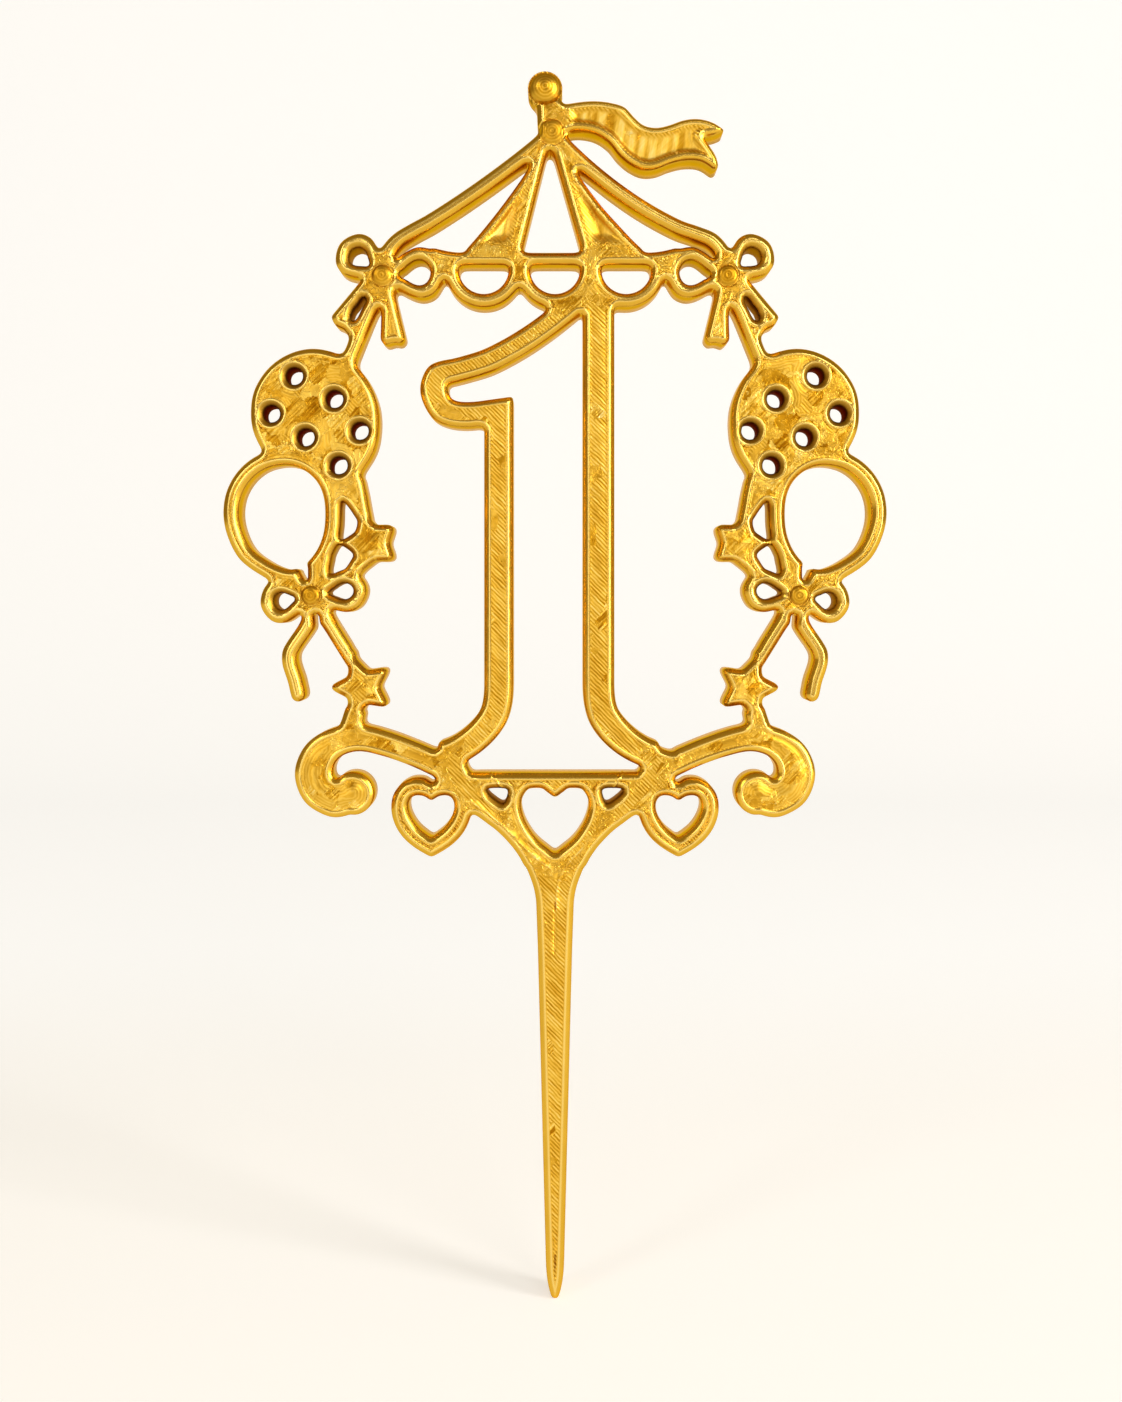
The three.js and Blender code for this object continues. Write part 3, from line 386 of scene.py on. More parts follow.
def add_line(points, closed):
    """Puts a line's points and its edges on the face."""
    start = len(spots)
    spots.extend(map(tuple, points))
    count = len(points)
    links.extend((start + k, start + (k + 1) % count) for k in range(count if closed else count - 1))


def tree_of(points):
    """A tree that finds the nearest of the points."""
    made = KDTree(len(points))
    for k, p in enumerate(points):
        made.insert((p[0], p[1], 0), k)
    made.balance()
    return made


def nearest_in(made, points):
    """Which of a tree's points is nearest to each point, and how far it is."""
    found = [made.find((p[0], p[1], 0)) for p in points]
    return np.array([f[1] for f in found]), np.array([f[2] for f in found])


for ring in outline:
    add_line(ring, True)
outline_links = len(links)
rim = np.concatenate(outline)
rim_before = np.concatenate([np.roll(ring, 1, 0) for ring in outline])
rim_after = np.concatenate([np.roll(ring, -1, 0) for ring in outline])
run = rim_after - rim_before
run /= np.linalg.norm(run, axis=1)[:, None]
inward = np.stack([-run[:, 1], run[:, 0]], 1)
tree = tree_of(rim)
rim_along = np.concatenate([
    np.concatenate([[0], np.cumsum(np.linalg.norm(np.diff(ring, axis=0), axis=1))]) for ring in outline
])

# Small openings are dark inside, most of all the holes of the dotted balloons: painted shade, a dark wall
# colour and a dim gleam standing in for the shade inside them
DARK_AREA = 4.5
DARK_FADE = 3
BALLOON_SHADE = 1.0
OTHER_SHADE = 0.6
balloons = [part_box(name) for name in names if name.endswith("_dotted_balloon")]


def in_a_balloon(place):
    """Whether a place lies in the box of a dotted balloon."""
    return any(
        lo.x * MM < place[0] < hi.x * MM and lo.z * MM < place[1] < hi.z * MM for lo, hi in balloons
    )


rim_shaded_hollow = []
for ring in outline:
    share = np.clip((DARK_AREA + enclosed(ring)) / DARK_FADE, 0, 1) * (enclosed(ring) < 0)
    dark = BALLOON_SHADE if in_a_balloon(ring[0]) else OTHER_SHADE
    rim_shaded_hollow.append(np.full(len(ring), share * dark))
rim_shaded_hollow = np.concatenate(rim_shaded_hollow)


def depths(points):
    """How far points lie from the outline."""
    found, _ = nearest_in(tree, points)
    best = np.full(len(points), np.inf)
    for other in (rim_before, rim_after):
        a, d = rim[found], other[found] - rim[found]
        t = np.clip(((points - a) * d).sum(1) / np.maximum((d * d).sum(1), 1e-12), 0, 1)
        best = np.minimum(best, np.linalg.norm(points - a - t[:, None] * d, axis=1))
    return best


# A value is read from the four corners of its cell, so places stay this many steps short of the grid's end
LAST_CELL = 1.001


def in_cells(grid, at):
    """A grid's values at places given in its steps, worked out from the corners of their cells."""
    i, j = at.astype(int).T
    u, w = at[:, 0] - i, at[:, 1] - j
    near = grid[i, j] * (1 - u) + grid[i + 1, j] * u
    far = grid[i, j + 1] * (1 - u) + grid[i + 1, j + 1] * u
    return near * (1 - w) + far * w


def sampled(grid, points):
    """The values of a grid over the whole plate at points."""
    return in_cells(grid, np.clip((points - low) / CELL, 0, np.array(grid.shape) - LAST_CELL))


for line in borders:
    add_line(line, False)
border_links = len(links)

# Stars: ridges from the middle to the tips, a notch after each, and valleys to the notches
TIP_TURNS = [180, 108, 36, -36, -108]
NOTCH_TURN = -36
STARS = {"side_star": (2.65, 1.58), "lower_star": (2.95, 1.5)}
STAR_RISE = 0.28
STAR_REACH = 3
SPOKE_STEP = 0.25
stars = []
for word, side in SIDES:
    for kind, (tip, notch) in STARS.items():
        mesh = NODES[f"{word}_{kind}"].data
        peak = min((v.co for v in mesh.vertices), key=lambda co: co.y)
        centre = np.array([peak.x, peak.z]) * MM
        turns = [t + s for t in TIP_TURNS for s in (0, NOTCH_TURN)]
        radii = [r for _ in TIP_TURNS for r in (tip, notch)]
        corners = [
            centre + r * np.array([-side * math.cos(math.radians(t)), math.sin(math.radians(t))])
            for t, r in zip(turns, radii)
        ]
        stars.append((centre, np.array(corners)))
        for corner in corners:
            reach = np.linalg.norm(corner - centre)
            count = max(2, round(reach / SPOKE_STEP))
            share = np.linspace(0, 1, count + 1)[:-1, None]
            add_line(centre + (corner - centre) * share, False)
star_links = len(links)

# Welds: thin raised lines where two runs of plastic met, and the crease down the top of the pick
WELDS = [
    [(-7.0, 8.6), (-5.6, 7.9), (-4.2, 6.7), (-3.2, 5.4), (-2.4, 4.3), (-1.3, 3.6), (-0.35, 3.0)],
    [(2.2, 4.6), (1.3, 3.9), (0.6, 3.1), (0.1, 2.2), (-0.05, 0.9), (0.1, -0.4)],
    [(-5.6, 11.3), (-4.9, 10.2), (-4.4, 9.4), (-3.7, 9.0)],
    [(5.6, 11.0), (4.9, 9.9), (4.6, 9.1)],
]
CREASE = [(0.0, 0.2), (0.02, -1.0), (0.0, -2.4), (-0.02, -4.2)]
WELD_HALF = 0.11
WELD_RISE = 0.13
CREASE_DEPTH = 0.16


def offset_lines(points):
    """A line resampled, with a line at either side of it."""
    line = resampled(np.array(points), False, STEP)
    run = np.gradient(line, axis=0)
    run /= np.linalg.norm(run, axis=1)[:, None]
    across = np.stack([-run[:, 1], run[:, 0]], 1)
    return [line + across * WELD_HALF * share for share in (-1, 0, 1)]


weld_places = [offset_lines(points) for points in WELDS + [CREASE]]
for lines_of in weld_places:
    for line in lines_of:
        add_line(line, False)

# Points between the lines: rings inside the outline, rings on the round pieces, and a lattice on the rest.
# A ring's point stays where it is nearly as deep as it was moved.
RING_KEPT = 0.965
BUMP_RINGS = (0.12, 0.25, 0.36, 0.46, 0.58, 0.7, 0.8, 0.88, 0.94, 1.0, 1.06)
BUMP_STEP = 0.14
BUMP_CLEAR = 1.15
LATTICE_DEPTH = 0.6
bumps = {name: round_node(name) for name in ROUND}
loose = []
for gap in RINGS[1:]:
    moved = rim + inward * gap
    loose.append(moved[depths(moved) > RING_KEPT * gap])
for centre, radius in bumps.values():
    for share in BUMP_RINGS:
        count = max(8, round(2 * math.pi * radius * share / BUMP_STEP))
        loose.append(circle(centre, radius * share, count))
    loose.append(np.array([centre]))
rows = np.arange(low[1], high[1], LATTICE * math.sqrt(0.75))
grid = [
    (x + (k % 2) * LATTICE / 2, z) for k, z in enumerate(rows) for x in np.arange(low[0], high[0], LATTICE)
]
grid = np.array(grid)
grid = grid[sampled(joined, grid) < -LATTICE_DEPTH]
grid = grid[depths(grid) > RINGS[-1] + 0.5 * LATTICE]
for centre, radius in bumps.values():
    grid = grid[np.linalg.norm(grid - centre, axis=1) > radius * BUMP_CLEAR]
loose.append(grid)


def piece_grid(name):
    """A piece's own distances on the whole grid."""
    first, field = fields[name]
    values = np.full(tuple(shape), REACH)
    values[first[0]:first[0] + field.shape[0], first[1]:first[1] + field.shape[1]] = field
    return values


# A finer lattice, a little uneven, where the face is sunk: the pennant and the roof panels
SUNK = ["pennant_flag", "left_roof_panel", "right_roof_panel"]
UNEVEN = 0.03
UNEVEN_RATE = 37.0
FINE_DEPTH = 0.45
sunk_grids = {name: piece_grid(name) for name in SUNK}
for name in SUNK:
    lo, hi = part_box(name)
    xs = np.arange(lo.x * MM, hi.x * MM, FINE_LATTICE)
    zs = np.arange(lo.z * MM, hi.z * MM, FINE_LATTICE)
    fine = np.stack([v.ravel() for v in np.meshgrid(xs, zs)], 1)
    fine += UNEVEN * np.sin(fine[:, ::-1] * UNEVEN_RATE)
    fine = fine[sampled(sunk_grids[name], fine) < -0.1]
    loose.append(fine[depths(fine) > FINE_DEPTH])
loose = np.concatenate(loose)
loose = loose[sampled(joined, loose) < 0.05]
spots.extend(map(tuple, loose))

MERGED_WITHIN = 1e-4
flat, flat_edges, flat_faces, _, edge_sources, _ = delaunay_2d_cdt(
    [Vector(p) for p in spots], links, [], 0, MERGED_WITHIN, True
)
flat = np.array([tuple(p) for p in flat])
flat_faces = np.array([f for f in flat_faces if len(f) == 3])

# Which triangles are plate: every crossing of the outline changes from outside to inside
rim_edges, ridge_edges = set(), set()
for (a, b), sources in zip(flat_edges, edge_sources):
    key = (min(a, b), max(a, b))
    if any(s < outline_links for s in sources):
        rim_edges.add(key)
    elif any(border_links <= s < star_links for s in sources):
        ridge_edges.add(key)
across = {}
for k, (a, b, c) in enumerate(flat_faces.tolist()):
    for p, q in ((a, b), (b, c), (c, a)):
        across.setdefault((min(p, q), max(p, q)), []).append(k)
parity = np.full(len(flat_faces), -1)
outer = next(there[0] for key, there in across.items() if len(there) == 1 and key not in rim_edges)
queue = [outer]
parity[outer] = 0
sides_of = flat_faces.tolist()
while queue:
    here = queue.pop()
    a, b, c = sides_of[here]
    for p, q in ((a, b), (b, c), (c, a)):
        key = (min(p, q), max(p, q))
        for there in across[key]:
            if parity[there] < 0:
                parity[there] = parity[here] ^ (key in rim_edges)
                queue.append(there)
faces = flat_faces[parity == 1]

# Which piece each triangle belongs to
middles = flat[faces].mean(1)
best = np.full(len(faces), np.inf)
piece_of = np.zeros(len(faces), int)
for k, name in enumerate(names):
    first, field = fields[name]
    at = (middles - low) / CELL - first
    near = ((at >= 0) & (at < np.array(field.shape) - LAST_CELL)).all(1)
    value = in_cells(field, at[near])
    rows = np.nonzero(near)[0]
    win = value < best[rows]
    best[rows[win]] = value[win]
    piece_of[rows[win]] = k

# Relief: how far the front and the back lie under the plate's faces
depth = depths(flat)
x, z = flat[:, 0], flat[:, 1]
drop = np.interp(depth, RINGS, FRONT_DROP)
back_drop = np.interp(depth, RINGS, BACK_DROP)


def eased(value, start, end):
    """0 up to the start and 1 from the end on, with a soft change between them."""
    t = np.clip((value - start) / (end - start), 0, 1)
    return t * t * (3 - 2 * t)


# The pennant's sunk panel, with a rim along the mast too
PENNANT_SEAM = (-0.2, 0.3)
PENNANT_PALE = (0.7, 0.95)
in_pennant = -sampled(sunk_grids["pennant_flag"], flat)
on_pennant = eased(in_pennant, *PENNANT_SEAM)
drop += on_pennant * (np.interp(np.minimum(depth, in_pennant), PENNANT_RINGS, PENNANT_DROP) - drop)
pale = on_pennant * eased(np.minimum(depth, in_pennant), *PENNANT_PALE)

# Stars rise to their middles in flat facets
for centre, corners in stars:
    reach = flat - centre
    near = np.linalg.norm(reach, axis=1) < STAR_REACH
    share = np.full(near.sum(), np.inf)
    for a, b in zip(corners, np.roll(corners, -1, 0)):
        m = np.stack([a - centre, b - centre], 1)
        u, v = np.linalg.inv(m) @ reach[near].T
        inside = (u > -1e-6) & (v > -1e-6)
        share = np.where(inside, np.minimum(share, u + v), share)
    drop[near] -= STAR_RISE * np.clip(1 - share, 0, 1)

# Knots, the boss and the ball, by shares of their radius. The ball is a dome with an upright wall.
BALL_EDGE = 0.97
BALL_EDGE_DROP = 0.65
BALL_FOOT_DROP = 0.95
BALL_RISE = 1.25
KNOT_SHARES = [0, 0.12, 0.25, 0.36, 0.46, 0.58, 0.7, 0.8, 0.88, 0.94, 1.0, 1.12]
KNOT_RISE = [0.2, 0.24, 0.25, 0.25, 0.24, 0.22, 0.18, 0.13, 0.07, -0.02, -0.12, 0.0]
for name, (centre, radius) in bumps.items():
    share = np.linalg.norm(flat - centre, axis=1) / radius
    if name == "finial_ball":
        near = share < 1
        dome = BALL_FOOT_DROP - BALL_RISE * np.sqrt(np.clip(1 - share[near] ** 2, 0, 1))
        drop[near] = np.where(share[near] < BALL_EDGE, dome, BALL_EDGE_DROP)
    else:
        drop -= np.interp(share, KNOT_SHARES, KNOT_RISE)

# Roof panels: a raised spoke, a slope down from it, a facet that rises again, and a rim round them
PANEL_SINK = 0.5
SPOKE_WIDTH = 0.85
SPOKE_SLOPE = 0.95
PANEL_RIM = (0.62, 0.95)
PANEL_FOOT = (0.2, 1.4)
FACET_RISE = 0.28
FACET_START = 1.8
FACET_WIDTH = 2.2
EDGE_SHARE = 0.93
PANEL_PALE = (1.0, 1.5)
FOOT_BAND = 0.05
TOP_BAND = 0.15
for word, side in SIDES:
    name = f"{word}_roof_panel"
    loop = outlines[name][0]
    lo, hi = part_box(name)
    low_points = loop[loop[:, 1] < lo.z * MM + FOOT_BAND]
    high_points = loop[loop[:, 1] > hi.z * MM - TOP_BAND]
    foot = low_points[np.argmin(side * low_points[:, 0])]
    top = high_points[np.argmin(side * high_points[:, 0])]
    rise = (top - foot) / np.linalg.norm(top - foot)
    outwards = side * np.array([rise[1], -rise[0]])
    from_spoke = (flat - foot) @ outwards
    from_edge = np.where(depth < EDGE_SHARE * from_spoke, depth, FAR)
    sink = np.clip((from_spoke - SPOKE_WIDTH) / SPOKE_SLOPE, 0, 1) * eased(from_edge, *PANEL_RIM)
    sink *= eased(flat[:, 1] - lo.z * MM, *PANEL_FOOT)
    sink *= sampled(sunk_grids[name], flat) < 0
    level = PANEL_SINK - FACET_RISE * np.clip((from_spoke - FACET_START) / FACET_WIDTH, 0, 1)
    drop += sink * level
    pale = np.maximum(pale, sink * eased(from_spoke, *PANEL_PALE))

# The scrolls swell towards their middle line
SCROLL_SINK = 0.3
SCROLL_SWELL = 0.42
SCROLL_DEPTHS = (0.1, 1.7)
for word, _ in SIDES:
    in_scroll = eased(-sampled(piece_grid(f"{word}_scroll"), flat), 0.0, 1.0)
    drop += in_scroll * (SCROLL_SINK - SCROLL_SWELL * eased(depth, *SCROLL_DEPTHS))

# Welds and the crease
# The weld mark is a painted highlight: a paler tone along the raised weld lines
weld_sheen = np.zeros(len(flat))
for k, (_, line, _) in enumerate(weld_places):
    _, away = nearest_in(tree_of(line), flat)
    crease = k == len(weld_places) - 1
    drop += (CREASE_DEPTH if crease else -WELD_RISE) * (1 - eased(away, 0.0, WELD_HALF * 1.2))
    if not crease:
        weld_sheen = np.maximum(weld_sheen, 1 - eased(away, 0.03, WELD_HALF))

front = FRONT + drop
back = BACK - back_drop

# Marks that the material reads: the way to the nearest border, the depth as the nozzle laid it, in rings on
# the round pieces, and how domed the face is. The dome mark fades the lines there, and it is a painted shade
# that darkens the knots, and the ball less
BUMP_EDGE = 1.03
BALL_DOME_SHADE = 0.3
KNOT_DOME_SHADE = 1.0
CORE_LAID = 0.7
_, junction = nearest_in(tree_of(np.concatenate(borders)), flat)
laid = depth.copy()
domed_and_shaded = np.zeros(len(flat))
for name, (centre, radius) in bumps.items():
    away = np.linalg.norm(flat - centre, axis=1)
    on_it = away < radius * BUMP_EDGE
    junction[on_it] = FAR
    dark = BALL_DOME_SHADE if name == "finial_ball" else KNOT_DOME_SHADE
    domed_and_shaded = np.maximum(domed_and_shaded, dark * (1 - eased(away / radius, 0.9, 1.08)))
    laid[on_it] = CORE_LAID + radius - away[on_it]
nearest_rim, _ = nearest_in(tree, flat)
along_rim = rim_along[nearest_rim]
# How much painted shade each point takes from the small opening it borders
shaded_hollow = rim_shaded_hollow[nearest_rim]

# How much of a piece's face is laid in lines that follow its outline, and how patchy it is, by the first
# word that its name holds
CONTOURED = {
    "scroll": 1.0, "loop": 0.9, "ribbon": 0.9, "tail": 0.8, "rod": 0.8, "dotted": 0.55, "star": 0.0,
    "string": 0.8, "stem": 0.7, "rib": 0.6, "scallop": 0.5, "ring_balloon": 0.7, "knot": 1.0, "boss": 1.0,
    "ball": 1.0, "pendant": 0.45, "centre_heart": 0.4, "arm": 0.35,
}
PLAIN_CONTOURED = 0.15
PATCHY = {
    "knot": 0.0, "boss": 0.0, "finial": 0.0, "dotted": 1.0, "star": 0.9, "scroll": 0.75, "tail": 0.6,
    "panel": 0.4, "middle_scallop": 0.9,
}
PLAIN_PATCHY = 0.14


def share_of(name, table, otherwise):
    """A piece's share in a table of words, or another one if no word fits."""
    for word, share in table.items():
        if word in name.replace("scroll_stem", "stem"):
            return share
    return otherwise


def build(name, chosen, contoured, patchy):
    """One piece: its face, its back and the walls between them.

    Each is closed, but a dotted balloon touches itself at one corner, where four faces share an edge
    of its wall.
    """
    used, local = np.unique(chosen, return_inverse=True)
    local = local.reshape(chosen.shape)
    a, b, c = (flat[chosen[:, k]] for k in range(3))
    area = (b - a)[:, 0] * (c - a)[:, 1] - (b - a)[:, 1] * (c - a)[:, 0]
    flip = area < 0
    local[flip] = local[flip][:, ::-1]
    count = len(used)
    places = np.concatenate([
        np.stack([x[used], front[used], z[used]], 1),
        np.stack([x[used], back[used], z[used]], 1),
    ])
    # A dictionary, because it keeps the order in which the edges were met
    directed = {}
    for p, q, r in local.tolist():
        for edge in ((p, q), (q, r), (r, p)):
            directed[edge] = True
    open_edges = [(p, q) for p, q in directed if (q, p) not in directed]
    polygons = local.tolist()
    polygons += (local[:, ::-1] + count).tolist()
    polygons += [(q, p, p + count, q + count) for p, q in open_edges]
    mesh = bpy.data.meshes.new(name)
    mesh.from_pydata((places / MM).tolist(), [], polygons)
    mesh.validate()
    sharp = mesh.attributes.new("sharp_edge", "BOOLEAN", "EDGE")
    inner = {(min(p, q), max(p, q)) for p, q in open_edges
             if (min(used[p], used[q]), max(used[p], used[q])) not in rim_edges}
    flags = np.zeros(len(mesh.edges), bool)
    for edge in mesh.edges:
        p, q = edge.vertices
        if p < count and q < count:
            key = (min(used[p], used[q]), max(used[p], used[q]))
            flags[edge.index] = (min(p, q), max(p, q)) in inner or key in ridge_edges
        elif p >= count and q >= count:
            flags[edge.index] = (min(p, q) - count, max(p, q) - count) in inner
    sharp.data.foreach_set("value", flags)
    marks = {
        "depth": laid, "junction": junction, "along": along_rim, "pale": pale, "shaded_hollow": shaded_hollow,
        "domed_and_shaded": domed_and_shaded, "weld_sheen": weld_sheen,
        "contoured": np.full(len(flat), contoured), "patchy": np.full(len(flat), patchy),
    }
    for label, values in marks.items():
        attribute = mesh.attributes.new(label, "FLOAT", "POINT")
        attribute.data.foreach_set("value", np.tile(values[used], 2).astype(np.float32))
    mesh.shade_smooth()
    piece = bpy.data.objects.new(f"{name}_gold", mesh)
    bpy.context.scene.collection.objects.link(piece)
    return piece


# Silk gold plastic. Pitches and heights are in millimetres. TONES runs from the darkest tone to the palest,
# the scales are how fine the noises are, and WARP_REACH is the most that noise shifts a patch, in metres.
RASTER_PITCH = 0.25
FOLLOWED_PITCH = 0.24
DOT_PITCH = 0.36
LINE_HEIGHT = 0.02
RIDGE_HEIGHT = 0.04
SWAY_HEIGHT = 0.05
PATCH_HEIGHT = 0.03
DOT_HEIGHT = 0.014
LAYER_HEIGHT = 0.005
WARP_SCALE = 900
WARP_REACH = 0.0016
PATCH_SCALE = 820
SWAY_SCALE = 450
RIPPLE_SCALE = 1500
SWIRL_SCALE = 1100
LAYER_STRETCH = (160, 4500, 160)
TONES = [
    (0.05, (0.4, 0.15, 0.002)), (0.28, (0.6, 0.29, 0.01)), (0.5, (0.83, 0.475, 0.045)),
    (0.74, (0.97, 0.65, 0.11)), (1.0, (1.0, 0.81, 0.3)),
]
# Painted shade: the dark tone in the gaps along the groove
GROOVE_SHADE_TONE = (0.42, 0.18, 0.008, 1)
# The bead's paler gold towards its crest is partly a painted highlight
BEAD_AND_SHEEN_TONES = (0.88, 0.53, 0.06, 1), (0.94, 0.66, 0.17, 1)
WALL_TONES = (0.57, 0.31, 0.018, 1), (0.77, 0.45, 0.045, 1)
# Painted shade: the dark tone and the dim gleam of the walls of small openings
HOLLOW_SHADE_TONE = (0.16, 0.055, 0.003, 1)
GLEAM, HOLLOW_SHADE_GLEAM = (1.0, 0.74, 0.34, 1), (0.4, 0.14, 0.02, 1)


def gold_material():
    material = bpy.data.materials.new("silk_gold")
    material.use_nodes = True
    nodes, wires = material.node_tree.nodes, material.node_tree.links
    shader = nodes["Principled BSDF"]
    shader.inputs["Metallic"].default_value = 1.0

    def node(kind, **settings):
        made = nodes.new(kind)
        for key, value in settings.items():
            setattr(made, key, value)
        return made

    def feed(socket, value):
        if isinstance(value, (int, float, tuple)):
            socket.default_value = value
        else:
            wires.new(value, socket)

    def maths(operation, *values):
        made = node("ShaderNodeMath", operation=operation)
        for socket, value in zip(made.inputs, values):
            feed(socket, value)
        return made.outputs[0]

    def plus(a, b):
        return maths("ADD", a, b)

    def times(a, b):
        return maths("MULTIPLY", a, b)

    def between(value, start, end, low=0.0, high=1.0):
        made = node("ShaderNodeMapRange", interpolation_type="SMOOTHSTEP")
        for socket, number in zip(made.inputs, (value, start, end, low, high)):
            feed(socket, number)
        return made.outputs[0]

    def mixed(share, a, b):
        made = node("ShaderNodeMix", data_type="FLOAT")
        for socket, value in zip((made.inputs[0], made.inputs[2], made.inputs[3]), (share, a, b)):
            feed(socket, value)
        return made.outputs[0]

    def tinted(share, a, b):
        made = node("ShaderNodeMix", data_type="RGBA")
        for socket, value in zip((made.inputs[0], made.inputs[6], made.inputs[7]), (share, a, b)):
            feed(socket, value)
        return made.outputs[2]

    def noise(vector, scale, detail=2.0, distortion=0.0):
        made = node("ShaderNodeTexNoise")
        made.inputs["Scale"].default_value = scale
        made.inputs["Detail"].default_value = detail
        made.inputs["Distortion"].default_value = distortion
        wires.new(vector, made.inputs["Vector"])
        return made

    def streaks(vector, turn, across, along, detail=2.0):
        rotate = node("ShaderNodeVectorRotate", rotation_type="Y_AXIS")
        rotate.inputs["Angle"].default_value = math.radians(turn)
        wires.new(vector, rotate.inputs["Vector"])
        mapping = node("ShaderNodeMapping")
        mapping.inputs["Scale"].default_value = (across, 400, along)
        wires.new(rotate.outputs[0], mapping.inputs["Vector"])
        return between(noise(mapping.outputs[0], 1, detail).outputs["Fac"], 0.3, 0.7)

    def mark(name):
        return node("ShaderNodeAttribute", attribute_name=name).outputs["Fac"]

    def waves(value, pitch):
        return plus(times(maths("SINE", times(value, 2 * math.pi / pitch)), 0.5), 0.5)

    place = node("ShaderNodeTexCoord").outputs["Object"]
    depth_in, junction_in, along_in = mark("depth"), mark("junction"), mark("along")
    pale_in, contoured_in, patchy_in = mark("pale"), mark("contoured"), mark("patchy")
    shaded_hollow_in, domed_and_shaded_in = mark("shaded_hollow"), mark("domed_and_shaded")
    normal = node("ShaderNodeSeparateXYZ")
    wires.new(node("ShaderNodeNewGeometry").outputs["Normal"], normal.inputs[0])
    facing = maths("POWER", maths("ABSOLUTE", normal.outputs["Y"]), 3.0)
    near_junction = between(junction_in, 0.15, 1.1, 1.0, 0.0)
    inside = between(depth_in, 0.55, 0.68)
    axes = node("ShaderNodeSeparateXYZ")
    wires.new(place, axes.inputs[0])
    slant = times(plus(axes.outputs["X"], axes.outputs["Z"]), MM / math.sqrt(2))

    # Patches where the nozzle ran another way or the plastic melted, with ragged edges
    warp = noise(place, WARP_SCALE, 5)
    warp.inputs["Roughness"].default_value = 0.68
    ragged = node("ShaderNodeVectorMath", operation="MULTIPLY_ADD")
    wires.new(warp.outputs["Color"], ragged.inputs[0])
    ragged.inputs[1].default_value = (WARP_REACH, WARP_REACH, WARP_REACH)
    wires.new(place, ragged.inputs[2])
    cells = node("ShaderNodeTexVoronoi")
    cells.inputs["Scale"].default_value = PATCH_SCALE
    wires.new(ragged.outputs[0], cells.inputs["Vector"])
    cell = node("ShaderNodeSeparateColor")
    wires.new(cells.outputs["Color"], cell.inputs[0])
    patched = maths("MAXIMUM", times(patchy_in, 0.75), times(near_junction, 0.85))
    in_patch = maths("LESS_THAN", cell.outputs["Blue"], patched)
    sway = noise(place, SWAY_SCALE, 2).outputs["Fac"]
    ripple = noise(place, RIPPLE_SCALE, 2).outputs["Fac"]

    # Lines of the nozzle: 45 degree raster, lines that follow the outline, and another run in the patches
    falling = streaks(place, 45, 7000, 600)
    rising = streaks(place, -45, 6500, 600)
    upright = streaks(place, -10, 1700, 220, 3)
    raster = plus(times(waves(plus(slant, times(ripple, 0.16)), RASTER_PITCH), 0.58), times(falling, 0.42))
    followed = times(waves(plus(depth_in, times(ripple, 0.12)), FOLLOWED_PITCH), 0.4)
    followed = plus(followed, plus(times(ripple, 0.4), 0.1))
    contours_on = maths("GREATER_THAN", plus(contoured_in, plus(sway, -0.5)), 0.5)
    lines = mixed(contours_on, raster, followed)
    other = mixed(maths("GREATER_THAN", cell.outputs["Green"], 0.45), rising, ripple)
    lines = mixed(in_patch, lines, other)
    lines = mixed(pale_in, lines, plus(times(upright, 0.85), times(rising, 0.15)))

    # Swirls and small blobs where pieces run into each other
    swirl = noise(place, SWIRL_SCALE, 1, 2.4).outputs["Fac"]
    ridge = between(maths("ABSOLUTE", plus(swirl, -0.5)), 0.0, 0.05, 1.0, 0.0)
    ridge = times(ridge, times(maths("MAXIMUM", times(in_patch, 0.4), near_junction), inside))

    # Tone: 0.5 in the middle
    strength = plus(0.78, times(maths("MAXIMUM", patchy_in, domed_and_shaded_in), -0.35))
    strength = plus(strength, times(near_junction, -0.3))
    tone = plus(0.5, times(times(plus(lines, -0.5), inside), strength))
    tone = plus(tone, times(plus(sway, -0.5), 0.35))
    mottle = times(times(plus(cell.outputs["Red"], -0.62), in_patch), plus(times(patchy_in, 0.45), 0.2))
    tone = plus(tone, times(mottle, inside))
    tone = plus(tone, plus(times(pale_in, 0.12), times(ridge, 0.2)))
    # Painted highlight: the weld lines are made paler
    # Painted shade darkens the knots and the ball
    tone = plus(tone, plus(times(domed_and_shaded_in, -0.17), times(mark("weld_sheen"), 0.3)))
    shades = node("ShaderNodeValToRGB")
    while len(shades.color_ramp.elements) < len(TONES):
        shades.color_ramp.elements.new(0.5)
    for element, (at, colour) in zip(shades.color_ramp.elements, TONES):
        element.position = at
        element.color = (*colour, 1)
    wires.new(tone, shades.inputs[0])

    # The groove along the bead: dark where the runs of the raster leave gaps, a painted shade in those gaps
    groove = times(between(depth_in, 0.56, 0.64), between(depth_in, 0.68, 0.8, 1.0, 0.0))
    gap_shade = times(between(lines, 0.55, 0.3), between(ripple, 0.42, 0.56))
    gap_shade = times(gap_shade, plus(1.0, times(contours_on, -0.8)))
    base = tinted(times(times(groove, gap_shade), 0.45), shades.outputs[0], GROOVE_SHADE_TONE)
    # The bead's crest is a paler gold, partly a painted highlight that whitens the light along it
    bead_and_sheen = tinted(between(depth_in, 0.3, 0.44), *BEAD_AND_SHEEN_TONES)
    base = tinted(between(depth_in, 0.5, 0.6), bead_and_sheen, base)
    wall = tinted(sway, *WALL_TONES)
    # Painted shade: the walls of small openings are tinted dark brown and their reflections dimmed
    wall = tinted(shaded_hollow_in, wall, HOLLOW_SHADE_TONE)
    wires.new(tinted(shaded_hollow_in, GLEAM, HOLLOW_SHADE_GLEAM), shader.inputs["Specular Tint"])
    wires.new(tinted(facing, wall, base), shader.inputs["Base Color"])

